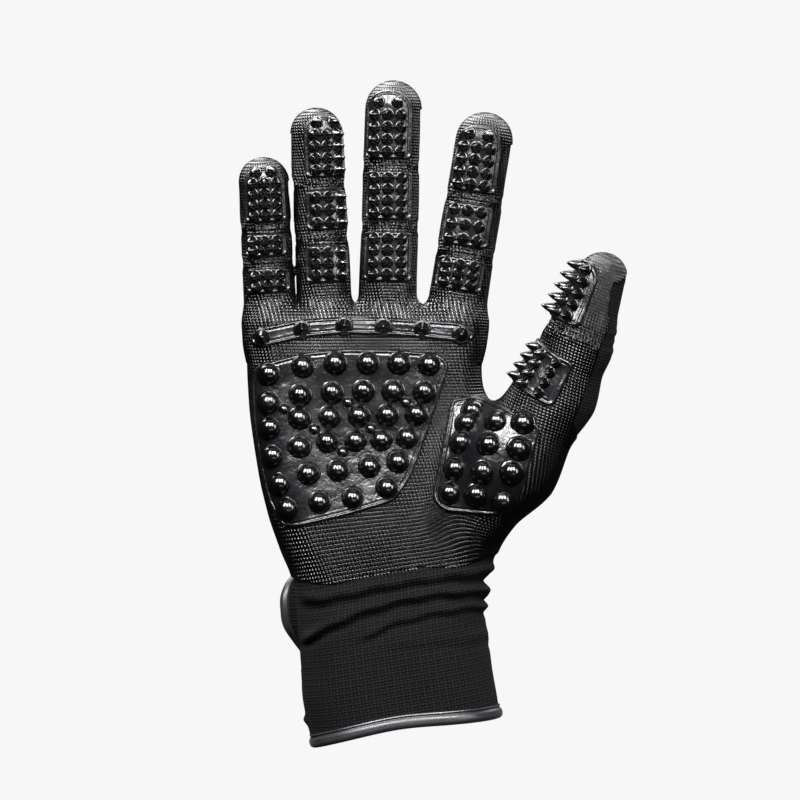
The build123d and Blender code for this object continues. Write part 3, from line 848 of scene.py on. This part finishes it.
def on_skin(angle_deg, height):
    a = np.radians(angle_deg)
    out = np.stack([np.cos(a), np.sin(a), 0 * a], 1)
    origins = SLIT_CENTRE + np.stack([0 * a, 0 * a, np.asarray(height, float)], 1) + out * 62
    return cast(origins, -out)


def along_forearm(angle_deg, up, level=0.0, form=None):
    """Points of the cuff by angle round the forearm's axis and distance along it."""
    a = np.radians(angle_deg)
    out = np.outer(np.cos(a), ACROSS) + np.outer(np.sin(a), [0, 1.0, 0])
    P = out * 62 + np.outer(up, FOREARM)
    form = form or field
    for _ in range(60):
        P = P - out * (0.8 * (form(P) - level))[:, None]
    return P, unit_rows(gradient(form, P, 0.2))


def hem_height(angle):
    """The hem rises a little at the front, measured along the forearm."""
    return 4.2 * bell((angle % 360) - 262, 62.0) - 0.5


def above_hem(P):
    angle = np.degrees(np.arctan2(P[:, 1], P @ ACROSS))
    return P @ FOREARM - hem_height(angle)


# outward and up the fabric: a thin lip, a groove, then the smooth rounded band, round under the edge and up inside
BINDING_PROFILE = [
    (-0.5, 4.7), (0.30, 4.62), (0.78, 4.45), (0.92, 4.12), (0.72, 3.78), (0.50, 3.56), (0.70, 3.26),
    (1.08, 2.85), (1.36, 2.2), (1.44, 1.4), (1.32, 0.55), (0.95, -0.10), (0.30, -0.52), (-0.60, -0.66),
    (-1.40, -0.42), (-1.98, 0.15), (-2.25, 1.0), (-2.32, 2.2), (-2.30, 3.4), (-1.7, 4.2),
]


def sweep(P, N, T, profile):
    """A strip with this cross-section along a curve: N is outward and T runs into the fabric."""
    profile = np.array(profile)
    n, m = len(P), len(profile)
    V = P[:, None] + profile[None, :, 0, None] * N[:, None] + profile[None, :, 1, None] * T[:, None]
    i, j = np.meshgrid(np.arange(n - 1), np.arange(m), indexing="ij")
    i2, j2 = i + 1, (j + 1) % m
    quads = np.stack([i * m + j, i * m + j2, i2 * m + j2, i2 * m + j], -1).reshape(-1, 4)
    along = np.concatenate([[0], np.cumsum(np.linalg.norm(np.diff(P, axis=0), axis=1))])
    across = np.concatenate([[0], np.cumsum(np.linalg.norm(np.diff(profile, axis=0), axis=1))])
    faces = [quads, np.stack([np.arange(m), (n - 1) * m + np.arange(m)[::-1]])]
    shape = Shape()
    V = V.reshape(-1, 3)
    shape.add(V, V * 0, faces, 0, along=np.repeat(along, m), across=np.tile(across, n))
    return shape


def square_to(N, tangent):
    return unit_rows(N - tangent * (N * tangent).sum(1)[:, None])


def hem_shape():
    angle = np.linspace(153.5, 142.5 + 360, 420)
    P, N = along_forearm(angle, hem_height(angle))
    for _ in range(len(P) ** 2 // 1000):
        P[1:-1] = (P[:-2] + 2 * P[1:-1] + P[2:]) / 4
        N[1:-1] = (N[:-2] + 2 * N[1:-1] + N[2:]) / 4
    tangent = unit_rows(np.gradient(P, axis=0))
    N = square_to(N - FOREARM * (N @ FOREARM)[:, None] * 0.8, tangent)
    T = np.cross(tangent, N)
    T *= np.sign(T @ FOREARM)[:, None]
    return sweep(P, N, T, BINDING_PROFILE)


def slit_shape():
    angle, height = slit_curve(260)
    P, N = on_skin(angle, height)
    keep = P @ FOREARM > 0.2
    P, N = P[keep], N[keep]
    tangent = np.gradient(P, axis=0)
    for _ in range(3):
        tangent = (np.roll(tangent, 1, 0) + 2 * tangent + np.roll(tangent, -1, 0)) / 4
    tangent[[0, -1]] = tangent[[1, -2]]
    tangent = unit_rows(tangent)
    N = square_to(N, tangent)
    T = np.cross(tangent, N)
    Q = inside_slit(P + T * 0.8)
    T *= np.where(np.median(Q) > 0, -1.0, 1.0)
    profile = [(n, t * 0.86) for n, t in BINDING_PROFILE]
    return sweep(P, N, T, profile)


# ---------------------------------------------------------------- flat tapes that lie round the cuff
TAPE_DEGREE_MM = 0.62


def tape_shape(angles, ups, low, high, corner, drop=None):
    """A strap or patch between two levels over the cuff, with rounded corners at its ends."""
    a0, a1 = angles
    u0, u1 = ups
    length = (a1 - a0) * TAPE_DEGREE_MM
    n = max(int(length / (0.6)), 8)
    ends = corner * (1 - np.cos(np.linspace(0, math.pi / 2, 7)))
    t = np.unique(np.concatenate([ends, np.linspace(corner, length - corner, n), length - ends]).round(4))
    gap = np.minimum(t, length - t)
    inset = np.where(gap < corner, corner - np.sqrt(np.maximum(corner**2 - (corner - gap) ** 2, 0)), 0)
    half, mid = (u1 - u0) / 2, (u0 + u1) / 2
    widths = half - inset
    v = np.linspace(-1, 1, 19)
    edge = 0.22 * (np.abs(v) > 0.98)
    top = [(s, high - d) for s, d in zip(v, edge)]
    ring = top + [(s, low + d) for s, d in zip(v[::-1], edge)]
    ring = np.array(ring)
    m = len(ring)
    A = np.repeat(a0 + t / TAPE_DEGREE_MM, m)
    U = mid + np.repeat(widths, m) * np.tile(ring[:, 0], len(t))
    level = np.tile(ring[:, 1], len(t))
    if drop is not None:
        level = level - drop(A)
    P, N = along_forearm(A, U, level, palm_field)
    i, j = np.meshgrid(np.arange(len(t) - 1), np.arange(m), indexing="ij")
    j2 = (j + 1) % m
    quads = np.stack([i * m + j, (i + 1) * m + j, (i + 1) * m + j2, i * m + j2], -1).reshape(-1, 4)
    k = len(v)
    caps = []
    for base, flip in ((0, False), ((len(t) - 1) * m, True)):
        i = np.arange(k - 1)
        cap = np.stack([base + i, base + i + 1, base + m - 2 - i, base + m - 1 - i], -1)
        caps.append(cap[:, ::-1] if flip else cap)
    shape = Shape()
    shape.add(P, N, [quads] + caps, 0, along=np.repeat(t, m), across=U)
    return shape


# ---------------------------------------------------------------- materials
class Nodes:
    """Short calls for building one material's nodes."""

    def __init__(self, name, base, roughness, **sockets):
        self.material = bpy.data.materials.new(name)
        self.material.use_nodes = True
        self.tree = self.material.node_tree
        self.shader = self.tree.nodes["Principled BSDF"]
        self.shader.inputs["Base Color"].default_value = (*base, 1)
        self.shader.inputs["Roughness"].default_value = roughness
        for key, value in sockets.items():
            self.shader.inputs[key.replace("_", " ")].default_value = value

    def new(self, kind, inputs=None, **settings):
        node = self.tree.nodes.new(kind)
        for key, value in settings.items():
            setattr(node, key, value)
        for key, value in (inputs or {}).items():
            if isinstance(value, bpy.types.NodeSocket):
                self.tree.links.new(value, node.inputs[key])
            else:
                node.inputs[key].default_value = value
        return node

    def math(self, operation, a, b=0.0):
        return self.new("ShaderNodeMath", {0: a, 1: b}, operation=operation).outputs[0]

    def times(self, a, b):
        return self.math("MULTIPLY", a, b)

    def plus(self, a, b):
        return self.math("ADD", a, b)

    def wave(self, x):
        """Between 0 and 1, once for each whole number."""
        return self.plus(self.times(self.math("COSINE", self.times(x, 2 * math.pi)), 0.5), 0.5)

    def attribute(self, name):
        return self.new("ShaderNodeAttribute", attribute_name=name).outputs["Fac"]

    def noise(self, scale, detail=3.0, roughness=0.5):
        where = self.new("ShaderNodeTexCoord").outputs["Object"]
        inputs = {"Vector": where, "Scale": scale, "Detail": detail, "Roughness": roughness}
        return self.new("ShaderNodeTexNoise", inputs).outputs[0]

    def voronoi(self, scale):
        where = self.new("ShaderNodeTexCoord").outputs["Object"]
        return self.new("ShaderNodeTexVoronoi", {"Vector": where, "Scale": scale}).outputs["Distance"]

    def ramp(self, value, low, high, to_low, to_high):
        inputs = {"Value": value, "From Min": low, "From Max": high, "To Min": to_low, "To Max": to_high}
        return self.new("ShaderNodeMapRange", inputs).outputs[0]

    def bump(self, height, distance_mm, strength=1.0, below=None):
        inputs = {"Height": height, "Distance": distance_mm * MM, "Strength": strength}
        if below is not None:
            inputs["Normal"] = below
        return self.new("ShaderNodeBump", inputs).outputs[0]

    def colour(self, value, dark, light):
        mix = self.new("ShaderNodeMix", {"Factor": value}, data_type="RGBA")
        mix.inputs[6].default_value = (*dark, 1)
        mix.inputs[7].default_value = (*light, 1)
        return mix.outputs[2]

    def link(self, value, socket):
        self.tree.links.new(value, self.shader.inputs[socket])


def stitch_lattice(n, skew=0.21):
    """Round raised dots where the wales and courses cross."""
    wale, course = n.attribute("wale"), n.attribute("course")
    return n.times(n.wave(n.plus(wale, n.times(course, skew))), n.wave(course))


def make_dip():
    n = Nodes("dip_rubber", (0.006, 0.006, 0.0065), 0.26, Specular_IOR_Level=0.36,
              Coat_Weight=0.04, Coat_Roughness=0.12)
    dots = stitch_lattice(n)
    beads = n.times(n.math("POWER", dots, 0.8), n.attribute("relief"))
    slow = n.noise(260.0, 2.0)
    patchy = n.noise(55.0, 3.0)
    crumple = n.times(n.noise(430.0, 2.0, 0.5), n.attribute("wrinkle"))
    n.link(n.colour(patchy, (0.0007, 0.0007, 0.0009), (0.0022, 0.0022, 0.0025)), "Base Color")
    gaps = n.times(n.math("SUBTRACT", 1.0, n.math("POWER", dots, 0.5)), n.attribute("relief"))
    n.link(n.plus(n.ramp(patchy, 0.3, 0.7, 0.11, 0.19), n.times(gaps, 0.02)), "Roughness")
    n.link(n.bump(beads, 0.56, 1.0, n.bump(crumple, 2.2, 1.0, n.bump(slow, 0.22, 0.7))), "Normal")
    return n.material


def make_knit():
    n = Nodes("black_knit", (0.008, 0.008, 0.0085), 0.86, Specular_IOR_Level=0.09,
              Sheen_Weight=0.015, Sheen_Roughness=0.5)
    n.shader.inputs["Sheen Tint"].default_value = (0.5, 0.5, 0.52, 1)
    wale, course = n.attribute("wale"), n.attribute("course")
    ribs = n.wave(wale)
    rows = n.wave(n.plus(course, n.times(ribs, 0.35)))
    height = n.plus(n.times(ribs, 0.55), n.times(rows, 0.6))
    fuzz = n.noise(900.0, 2.0, 0.7)
    patchy = n.noise(60.0, 3.0)
    pairs = n.times(n.wave(n.times(wale, 0.5)), n.wave(n.times(course, 0.5)))
    holes = n.math("SUBTRACT", 1.0, n.times(n.math("POWER", pairs, 3.0), 0.7))
    # painted shade: the colour is lighter on the stitch crowns and darker in the valleys and holes between stitches,
    # times a random patchy tone
    painted_shade_and_tone = n.times(n.math("POWER", n.times(height, holes), 1.5), n.ramp(patchy, 0.3, 0.7, 0.75, 1.05))
    n.link(n.colour(painted_shade_and_tone, (0.0004, 0.0004, 0.0005), (0.0068, 0.0068, 0.0074)), "Base Color")
    n.link(n.ramp(patchy, 0.3, 0.7, 0.80, 0.93), "Roughness")
    n.link(n.bump(n.times(height, holes), 0.42, 1.0, n.bump(fuzz, 0.12, 0.8)), "Normal")
    return n.material


def make_plate():
    n = Nodes("moulded_rubber", (0.008, 0.0078, 0.0085), 0.34, Specular_IOR_Level=0.5)
    fine, slow = n.noise(1500.0, 2.0), n.noise(110.0, 3.0)
    leather = n.noise(420.0, 3.0, 0.6)
    n.link(n.colour(slow, (0.0022, 0.0020, 0.0028), (0.0052, 0.0048, 0.0062)), "Base Color")
    n.link(n.ramp(slow, 0.3, 0.7, 0.20, 0.34), "Roughness")
    n.link(n.bump(fine, 0.04, 0.7, n.bump(leather, 0.35, 0.7, n.bump(slow, 1.0, 0.5))), "Normal")
    return n.material


def make_nub():
    n = Nodes("glossy_nubs", (0.005, 0.005, 0.0055), 0.2, Specular_IOR_Level=0.5,
              Coat_Weight=0.1, Coat_Roughness=0.08)
    slow = n.noise(140.0, 3.0)
    n.link(n.colour(slow, (0.0006, 0.0006, 0.0008), (0.0016, 0.0016, 0.0018)), "Base Color")
    n.link(n.ramp(slow, 0.3, 0.7, 0.15, 0.26), "Roughness")
    n.link(n.bump(slow, 0.12, 0.3), "Normal")
    return n.material


def make_tape(name, colours, roughness, pitch_along, pitch_across, depth, sheen):
    n = Nodes(name, colours[0], roughness, Specular_IOR_Level=0.45, Sheen_Weight=sheen, Sheen_Roughness=0.35)
    along, across = n.attribute("along"), n.attribute("across")
    ribs = n.wave(n.times(along, 1 / pitch_along))
    warp = n.wave(n.times(across, 1 / pitch_across))
    height = n.times(n.plus(ribs, 0.3), n.plus(warp, 0.5))
    patchy = n.noise(120.0, 3.0)
    # painted shade: the colour is lighter on the crowns of the ribs and darker in the grooves between them, times a
    # random patchy tone
    painted_shade_and_tone = n.times(height, n.ramp(patchy, 0.3, 0.7, 0.45, 0.75))
    n.link(n.colour(painted_shade_and_tone, *colours), "Base Color")
    n.link(n.ramp(patchy, 0.3, 0.7, roughness - 0.05, roughness + 0.08), "Roughness")
    n.link(n.bump(height, depth, 0.9), "Normal")
    return n.material


def make_pile(name, dark, light, scale, depth, roughness):
    n = Nodes(name, dark, roughness, Specular_IOR_Level=0.35, Sheen_Weight=0.2)
    cells, fuzz = n.voronoi(scale), n.noise(scale * 1.4, 3.0, 0.7)
    height = n.plus(n.times(cells, 0.7), n.times(fuzz, 0.6))
    # partly painted shade: the colour is lighter where the pile stands higher and darker in its hollows, with a random
    # tone from the fuzz
    n.link(n.colour(height, dark, light), "Base Color")
    n.link(n.ramp(fuzz, 0.3, 0.7, roughness - 0.06, roughness + 0.05), "Roughness")
    n.link(n.bump(height, depth, 0.9), "Normal")
    return n.material


DIP_RUBBER, KNIT, PLATE_RUBBER, NUB_RUBBER = make_dip(), make_knit(), make_plate(), make_nub()
BINDING_TAPE = make_tape("binding_tape", ((0.008, 0.008, 0.0095), (0.024, 0.0245, 0.028)), 0.36, 0.55, 1.7, 0.02, 0.06)
WEBBING = make_tape("webbing", ((0.005, 0.005, 0.0055), (0.020, 0.020, 0.0215)), 0.62, 1.1, 1.5, 0.22, 0.10)
LOOP_PILE = make_pile("loop_pile", (0.004, 0.004, 0.0045), (0.022, 0.022, 0.0235), 900.0, 0.35, 0.92)
HOOK_TAPE = make_pile("hook_tape", (0.006, 0.006, 0.0065), (0.030, 0.030, 0.032), 620.0, 0.45, 0.5)


# ---------------------------------------------------------------- the skin, cut into pieces
CUT_Z = 161.5
THUMB_CUT = -7.0
THUMB_MID = 14.0


def crease_points(seg, at, half=1.9):
    return [(seg.foot + seg.z * (at + d)) * MM for d in (-half, half)]


def pieces_of_skin(centres):
    """Which piece each face belongs to: 0 for the palm, then three for each finger and two for the thumb."""
    label = np.zeros(len(centres), int)
    high = (centres[:, 2] > CUT_Z) & (centres[:, 0] < 40)
    nearest = np.argmin([SEG[name].distance(centres[high], 14.0) for name in FINGERS], axis=0)
    found = np.zeros(high.sum(), int)
    for i, name in enumerate(FINGERS):
        low_crease, high_crease = FINGERS[name][6]
        h = (centres[high] - SEG[name].foot) @ SEG[name].z
        part = 1 + 3 * i + (h > low_crease / 2) + (h > (low_crease + high_crease) / 2)
        found = np.where(nearest == i, part, found)
    label[high] = found
    base = SEG["thumb_base"]
    s = (centres - base.foot) @ base.z
    thumb = (s > THUMB_CUT) & (centres[:, 0] > np.where(centres[:, 2] > 140, 42, 36)) & (centres[:, 2] > 110)
    label[thumb] = 13 + (s[thumb] > THUMB_MID)
    return label


def add_skin(prefix, P, Q, N, keep, material, values, nodes_for):
    P, Q, N, used = subset(P, Q, N, keep)
    values = {k: v[used] for k, v in values.items()}
    label = pieces_of_skin(P[Q].mean(1))
    base, tip = SEG["thumb_base"], SEG["thumb_tip"]
    jobs = [("palm", 0, None, nodes_for["palm"])]
    for i, name in enumerate(FINGERS):
        seg, (c1, c2) = SEG[name], FINGERS[name][6]
        root = [np.array((seg.foot[0], 0, z)) * MM for z in (CUT_Z + 0.8, CUT_Z + 3.8)]
        jobs.append((f"{name}_root", 1 + 3 * i, ("palm", f"{name}_base", *root), nodes_for[f"{name}_base"]))
        bend = (f"{name}_base", f"{name}_middle", *crease_points(seg, c1))
        jobs.append((f"{name}_middle", 2 + 3 * i, bend, nodes_for[f"{name}_middle"]))
        bend = (f"{name}_middle", f"{name}_tip", *crease_points(seg, c2))
        jobs.append((f"{name}_end", 3 + 3 * i, bend, nodes_for[f"{name}_tip"]))
    root = [(base.foot + base.z * s) * MM for s in (THUMB_CUT + 0.9, -2.2)]
    jobs.append(("thumb_root", 13, ("palm", "thumb_base", *root), nodes_for["thumb_base"]))
    bend = [(THUMB_JOINT + tip.z * s) * MM for s in (-1.5, 4.5)]
    jobs.append(("thumb_end", 14, ("thumb_base", "thumb_tip", *bend), nodes_for["thumb_tip"]))
    for name, number, bend, nodes in jobs:
        p, q, n, chosen = subset(P, Q, N, label == number)
        shape = Shape()
        shape.add(p, n, q, 0, **{k: v[chosen] for k, v in values.items()})
        obj = shape.mesh(f"{prefix}_{name}", [material])
        if bend is None:
            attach(obj, "palm")
        else:
            a, b, start, end = bend
            tuple(start)
            tuple(end)
            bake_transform(obj)
        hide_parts(*nodes)


def add_knit():
    P, Q, N = level_set(field, BOX_LOW, BOX_HIGH, SKIN_STEP)
    C = P[Q].mean(1)
    keep = (dip_region(C) < 2.2) & (above_hem(C) > 1.6) & (inside_slit(C) < -1.4)
    wale, course = thread_attributes(P)
    nodes = {f"{f}_{p}": [f"{f}_{p}_liner"] for f in FINGERS for p in ("base", "middle", "tip")}
    nodes.update(thumb_base=["thumb_base_liner"], thumb_tip=["thumb_tip_liner"], palm=["palm_liner", "cuff_liner"])
    add_skin("knit", P, Q, N, keep, KNIT, {"wale": wale, "course": course}, nodes)


def dip_level(P):
    region = dip_region(P)
    return -0.35 + (DIP + 0.35) * smooth(-0.5, 0.7, region) + 0.07 * bell(region - 1.3, 0.9)


def relief_strength(P):
    """How strongly the knit's stitches show through the rubber."""
    x, y, z = P.T
    low_palm = smooth(96, 84, z)
    strength = 0.70 + 0.30 * low_palm + 0.15 * ripple(P, 24.0)
    return strength * (1 - 0.15 * smooth(150, 160, z) * smooth(40, 34, x))


def wrinkle_strength(P):
    """Where the rubber is crumpled: across the creases, and a little at the fingers' roots."""
    out = 0.25 * smooth(154, 160, P[:, 2]) * smooth(172, 164, P[:, 2])
    for name, data in FINGERS.items():
        seg = SEG[name]
        d = seg.distance(P, 2.0)
        h = (P - seg.foot) @ seg.z
        for crease in data[6]:
            out = out + smooth(4, 2, d) * bell(h - crease, 2.0)
    tip = SEG["thumb_tip"]
    h = (P - tip.foot) @ tip.z
    out = out + smooth(5, 3, tip.distance(P, 4.0)) * bell(h, 2.6)
    return np.clip(out, 0, 1)


def add_dip():
    P, Q, N = level_set(lambda P: field(P) - dip_level(P), (*BOX_LOW[:2], 46), BOX_HIGH, SKIN_STEP)
    region = dip_region(P[Q].mean(1))
    wale, course = thread_attributes(P)
    nodes = {f"{f}_{p}": [f"{f}_{p}_dip"] for f in FINGERS for p in ("base", "middle", "tip")}
    nodes.update(thumb_base=["thumb_base_dip"], thumb_tip=["thumb_tip_dip"], palm=["palm_dip"])
    values = {"wale": wale, "course": course, "relief": np.clip(relief_strength(P), 0.1, 1.2)}
    values["wrinkle"] = wrinkle_strength(P)
    add_skin("dip", P, Q, N, region > -0.75, DIP_RUBBER, values, nodes)


LINING_DEPTH, LINING_STEP = 1.3, 1.5


def add_lining():
    """The inside of the cuff and lower palm, seen through the wrist opening and the slit."""
    P, Q, N = level_set(lambda P: field(P) + LINING_DEPTH, BOX_LOW, (60, 34, 108), LINING_STEP)
    C = P[Q].mean(1)
    keep = (above_hem(C) > 1.2) & (inside_slit(C) < -1.0) & (C[:, 2] < 104)
    wale, course = thread_attributes(P)
    P, Q, N, used = subset(P, Q[:, ::-1], -N, keep)
    shape = Shape()
    shape.add(P, N, Q, 0, wale=wale[used], course=course[used])
    obj = shape.mesh("lining_cuff", [KNIT])
    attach(obj, "palm")


def add_piece(shape, name, materials, body, nodes, smooth_normals=True):
    obj = shape.mesh(name, materials, smooth_normals)
    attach(obj, body)
    if nodes:
        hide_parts(*nodes)
    return obj


def add_pads():
    rubber = [PLATE_RUBBER, NUB_RUBBER]
    for name, data in FINGERS.items():
        for part, span, rows, turn in zip(("base", "middle", "tip"), data[7], data[8], PAD_TURNS[name]):
            is_tip = part == "tip"
            margin = TIP_MARGINS[name] if is_tip else ROW_MARGIN
            shape = finger_pad(SEG[name], turn, span, rows, is_tip, top_margin=margin)
            add_piece(shape, f"pad_{name}_{part}", rubber, f"{name}_{part}", [f"{name}_{part}_pad"])
    shape = finger_pad(SEG["thumb_base"], 0, (-2.0, 16.2), 4, False, SHORT_SPIKE, lift=-8.0)
    add_piece(shape, "pad_thumb_base", rubber, "thumb_base", ["thumb_base_pad"])
    shape = finger_pad(SEG["thumb_tip"], 0, (3.4, 27.6), 5, True, LONG_SPIKE, lift=-4.0, top_margin=3.4)
    add_piece(shape, "pad_thumb_tip", rubber, "thumb_tip", ["thumb_tip_pad"])

    around = 28
    dome, small = dome_profile(4.1, 3.8, 0.8), dome_profile(2.0, 1.6, 0.5)
    shape = palm_side_pad(PALM_PAD, 4.0, [(PALM_DOMES, dome, around), (SMALL_DOMES, small, around)])
    add_piece(shape, "pad_palm", rubber, "palm", ["palm_pad"])
    shape = palm_side_pad(THENAR_PAD, 3.5, [(THENAR_DOMES, dome, around)])
    add_piece(shape, "pad_thenar", rubber, "palm", ["thenar_pad"])
    shape = palm_side_pad(KNUCKLE_PAD, 2.6, [(KNUCKLE_POINTS, POINTED, around)])
    add_piece(shape, "pad_knuckle", rubber, "palm", ["knuckle_pad"])


def add_cuff_trim():
    add_piece(hem_shape(), "binding_hem", [BINDING_TAPE], "palm", ["hem_binding"], False)
    add_piece(slit_shape(), "binding_slit", [BINDING_TAPE], "palm", ["slit_binding"], False)
    loops = tape_shape((98.0, 133.5), (11.5, 28.5), -0.2, 1.3, 1.5)
    add_piece(loops, "loop_patch", [LOOP_PILE], "palm", ["loop_patch"], False)
    hooks = tape_shape((94.0, 131.0), (11.6, 28.4), 1.75, 2.65, 1.2)
    add_piece(hooks, "hook_patch", [HOOK_TAPE], "strap", ["hook_patch"], False)
    strap = tape_shape((92.0, 160.4), (10.0, 30.0), 2.65, 3.85, 3.5, lambda a: 2.5 * smooth(152, 160, a))
    add_piece(strap, "strap", [WEBBING], "strap", ["strap"], False)
    anchor = tape_shape((160.6, 166.0), (10.0, 30.0), -0.1, 1.35, 0.6)
    add_piece(anchor, "strap_anchor", [WEBBING], "palm", ["strap_anchor"], False)


add_knit()
add_dip()
add_lining()
add_pads()
add_cuff_trim()


# ---------------------------------------------------------------- stage, lights and camera
def add_area(name, where, size, power, size_y=None, target=(0, 0, 0.12)):
    light = bpy.data.lights.new(name, "AREA")
    light.shape = "RECTANGLE"
    light.size, light.size_y = size, size_y or size
    light.energy = power
    obj = bpy.data.objects.new(name, light)
    bpy.context.scene.collection.objects.link(obj)
    obj.location = where
    direction = obj.location - type(obj.location)(target)
    obj.rotation_euler = direction.to_track_quat("Z", "Y").to_euler()


# three upright soft boxes over the camera, weaker ones from below, the thumb side and above, and two behind
for name, x, y in (("left", -0.62, -0.72), ("middle", -0.12, -0.95), ("right", 0.38, -0.88)):
    add_area(name, (x, y, 0.86), 0.27, 30, 0.62)
add_area("low", (0.25, -1.2, -0.25), 0.9, 2.2, 0.25)
add_area("thumb_side", (0.95, -0.75, 0.45), 0.30, 12, 0.7)
add_area("top", (0.0, 0.35, 1.25), 0.8, 10, target=(0, 0, 0.1))
add_area("behind_left", (-0.45, 0.70, 1.1), 0.8, 24)
add_area("behind_right", (0.55, 0.75, 0.95), 0.5, 8, 0.9)

world = bpy.data.worlds.new("studio")
bpy.context.scene.world = world
world.use_nodes = True
tree = world.node_tree
pale, dim = tree.nodes["Background"], tree.nodes.new("ShaderNodeBackground")
pale.inputs[0].default_value = (0.938, 0.938, 0.938, 1)
dim.inputs[0].default_value = (0.9, 0.95, 1.0, 1)
dim.inputs[1].default_value = 0.02
mix = tree.nodes.new("ShaderNodeMixShader")
tree.links.new(tree.nodes.new("ShaderNodeLightPath").outputs["Is Camera Ray"], mix.inputs[0])
tree.links.new(dim.outputs[0], mix.inputs[1])
tree.links.new(pale.outputs[0], mix.inputs[2])
tree.links.new(mix.outputs[0], tree.nodes["World Output"].inputs[0])

camera_data = bpy.data.cameras.new("camera")
camera_data.sensor_width = 36.0
camera_data.lens = 168.0
camera = bpy.data.objects.new("camera", camera_data)
bpy.context.scene.collection.objects.link(camera)
camera.location = (-0.00225, -1.4, 0.1241)
camera.rotation_euler = (math.pi / 2, 0, 0)
bpy.context.scene.camera = camera
bpy.context.scene.view_settings.view_transform = "Standard"
bpy.context.scene.view_settings.gamma = 0.9
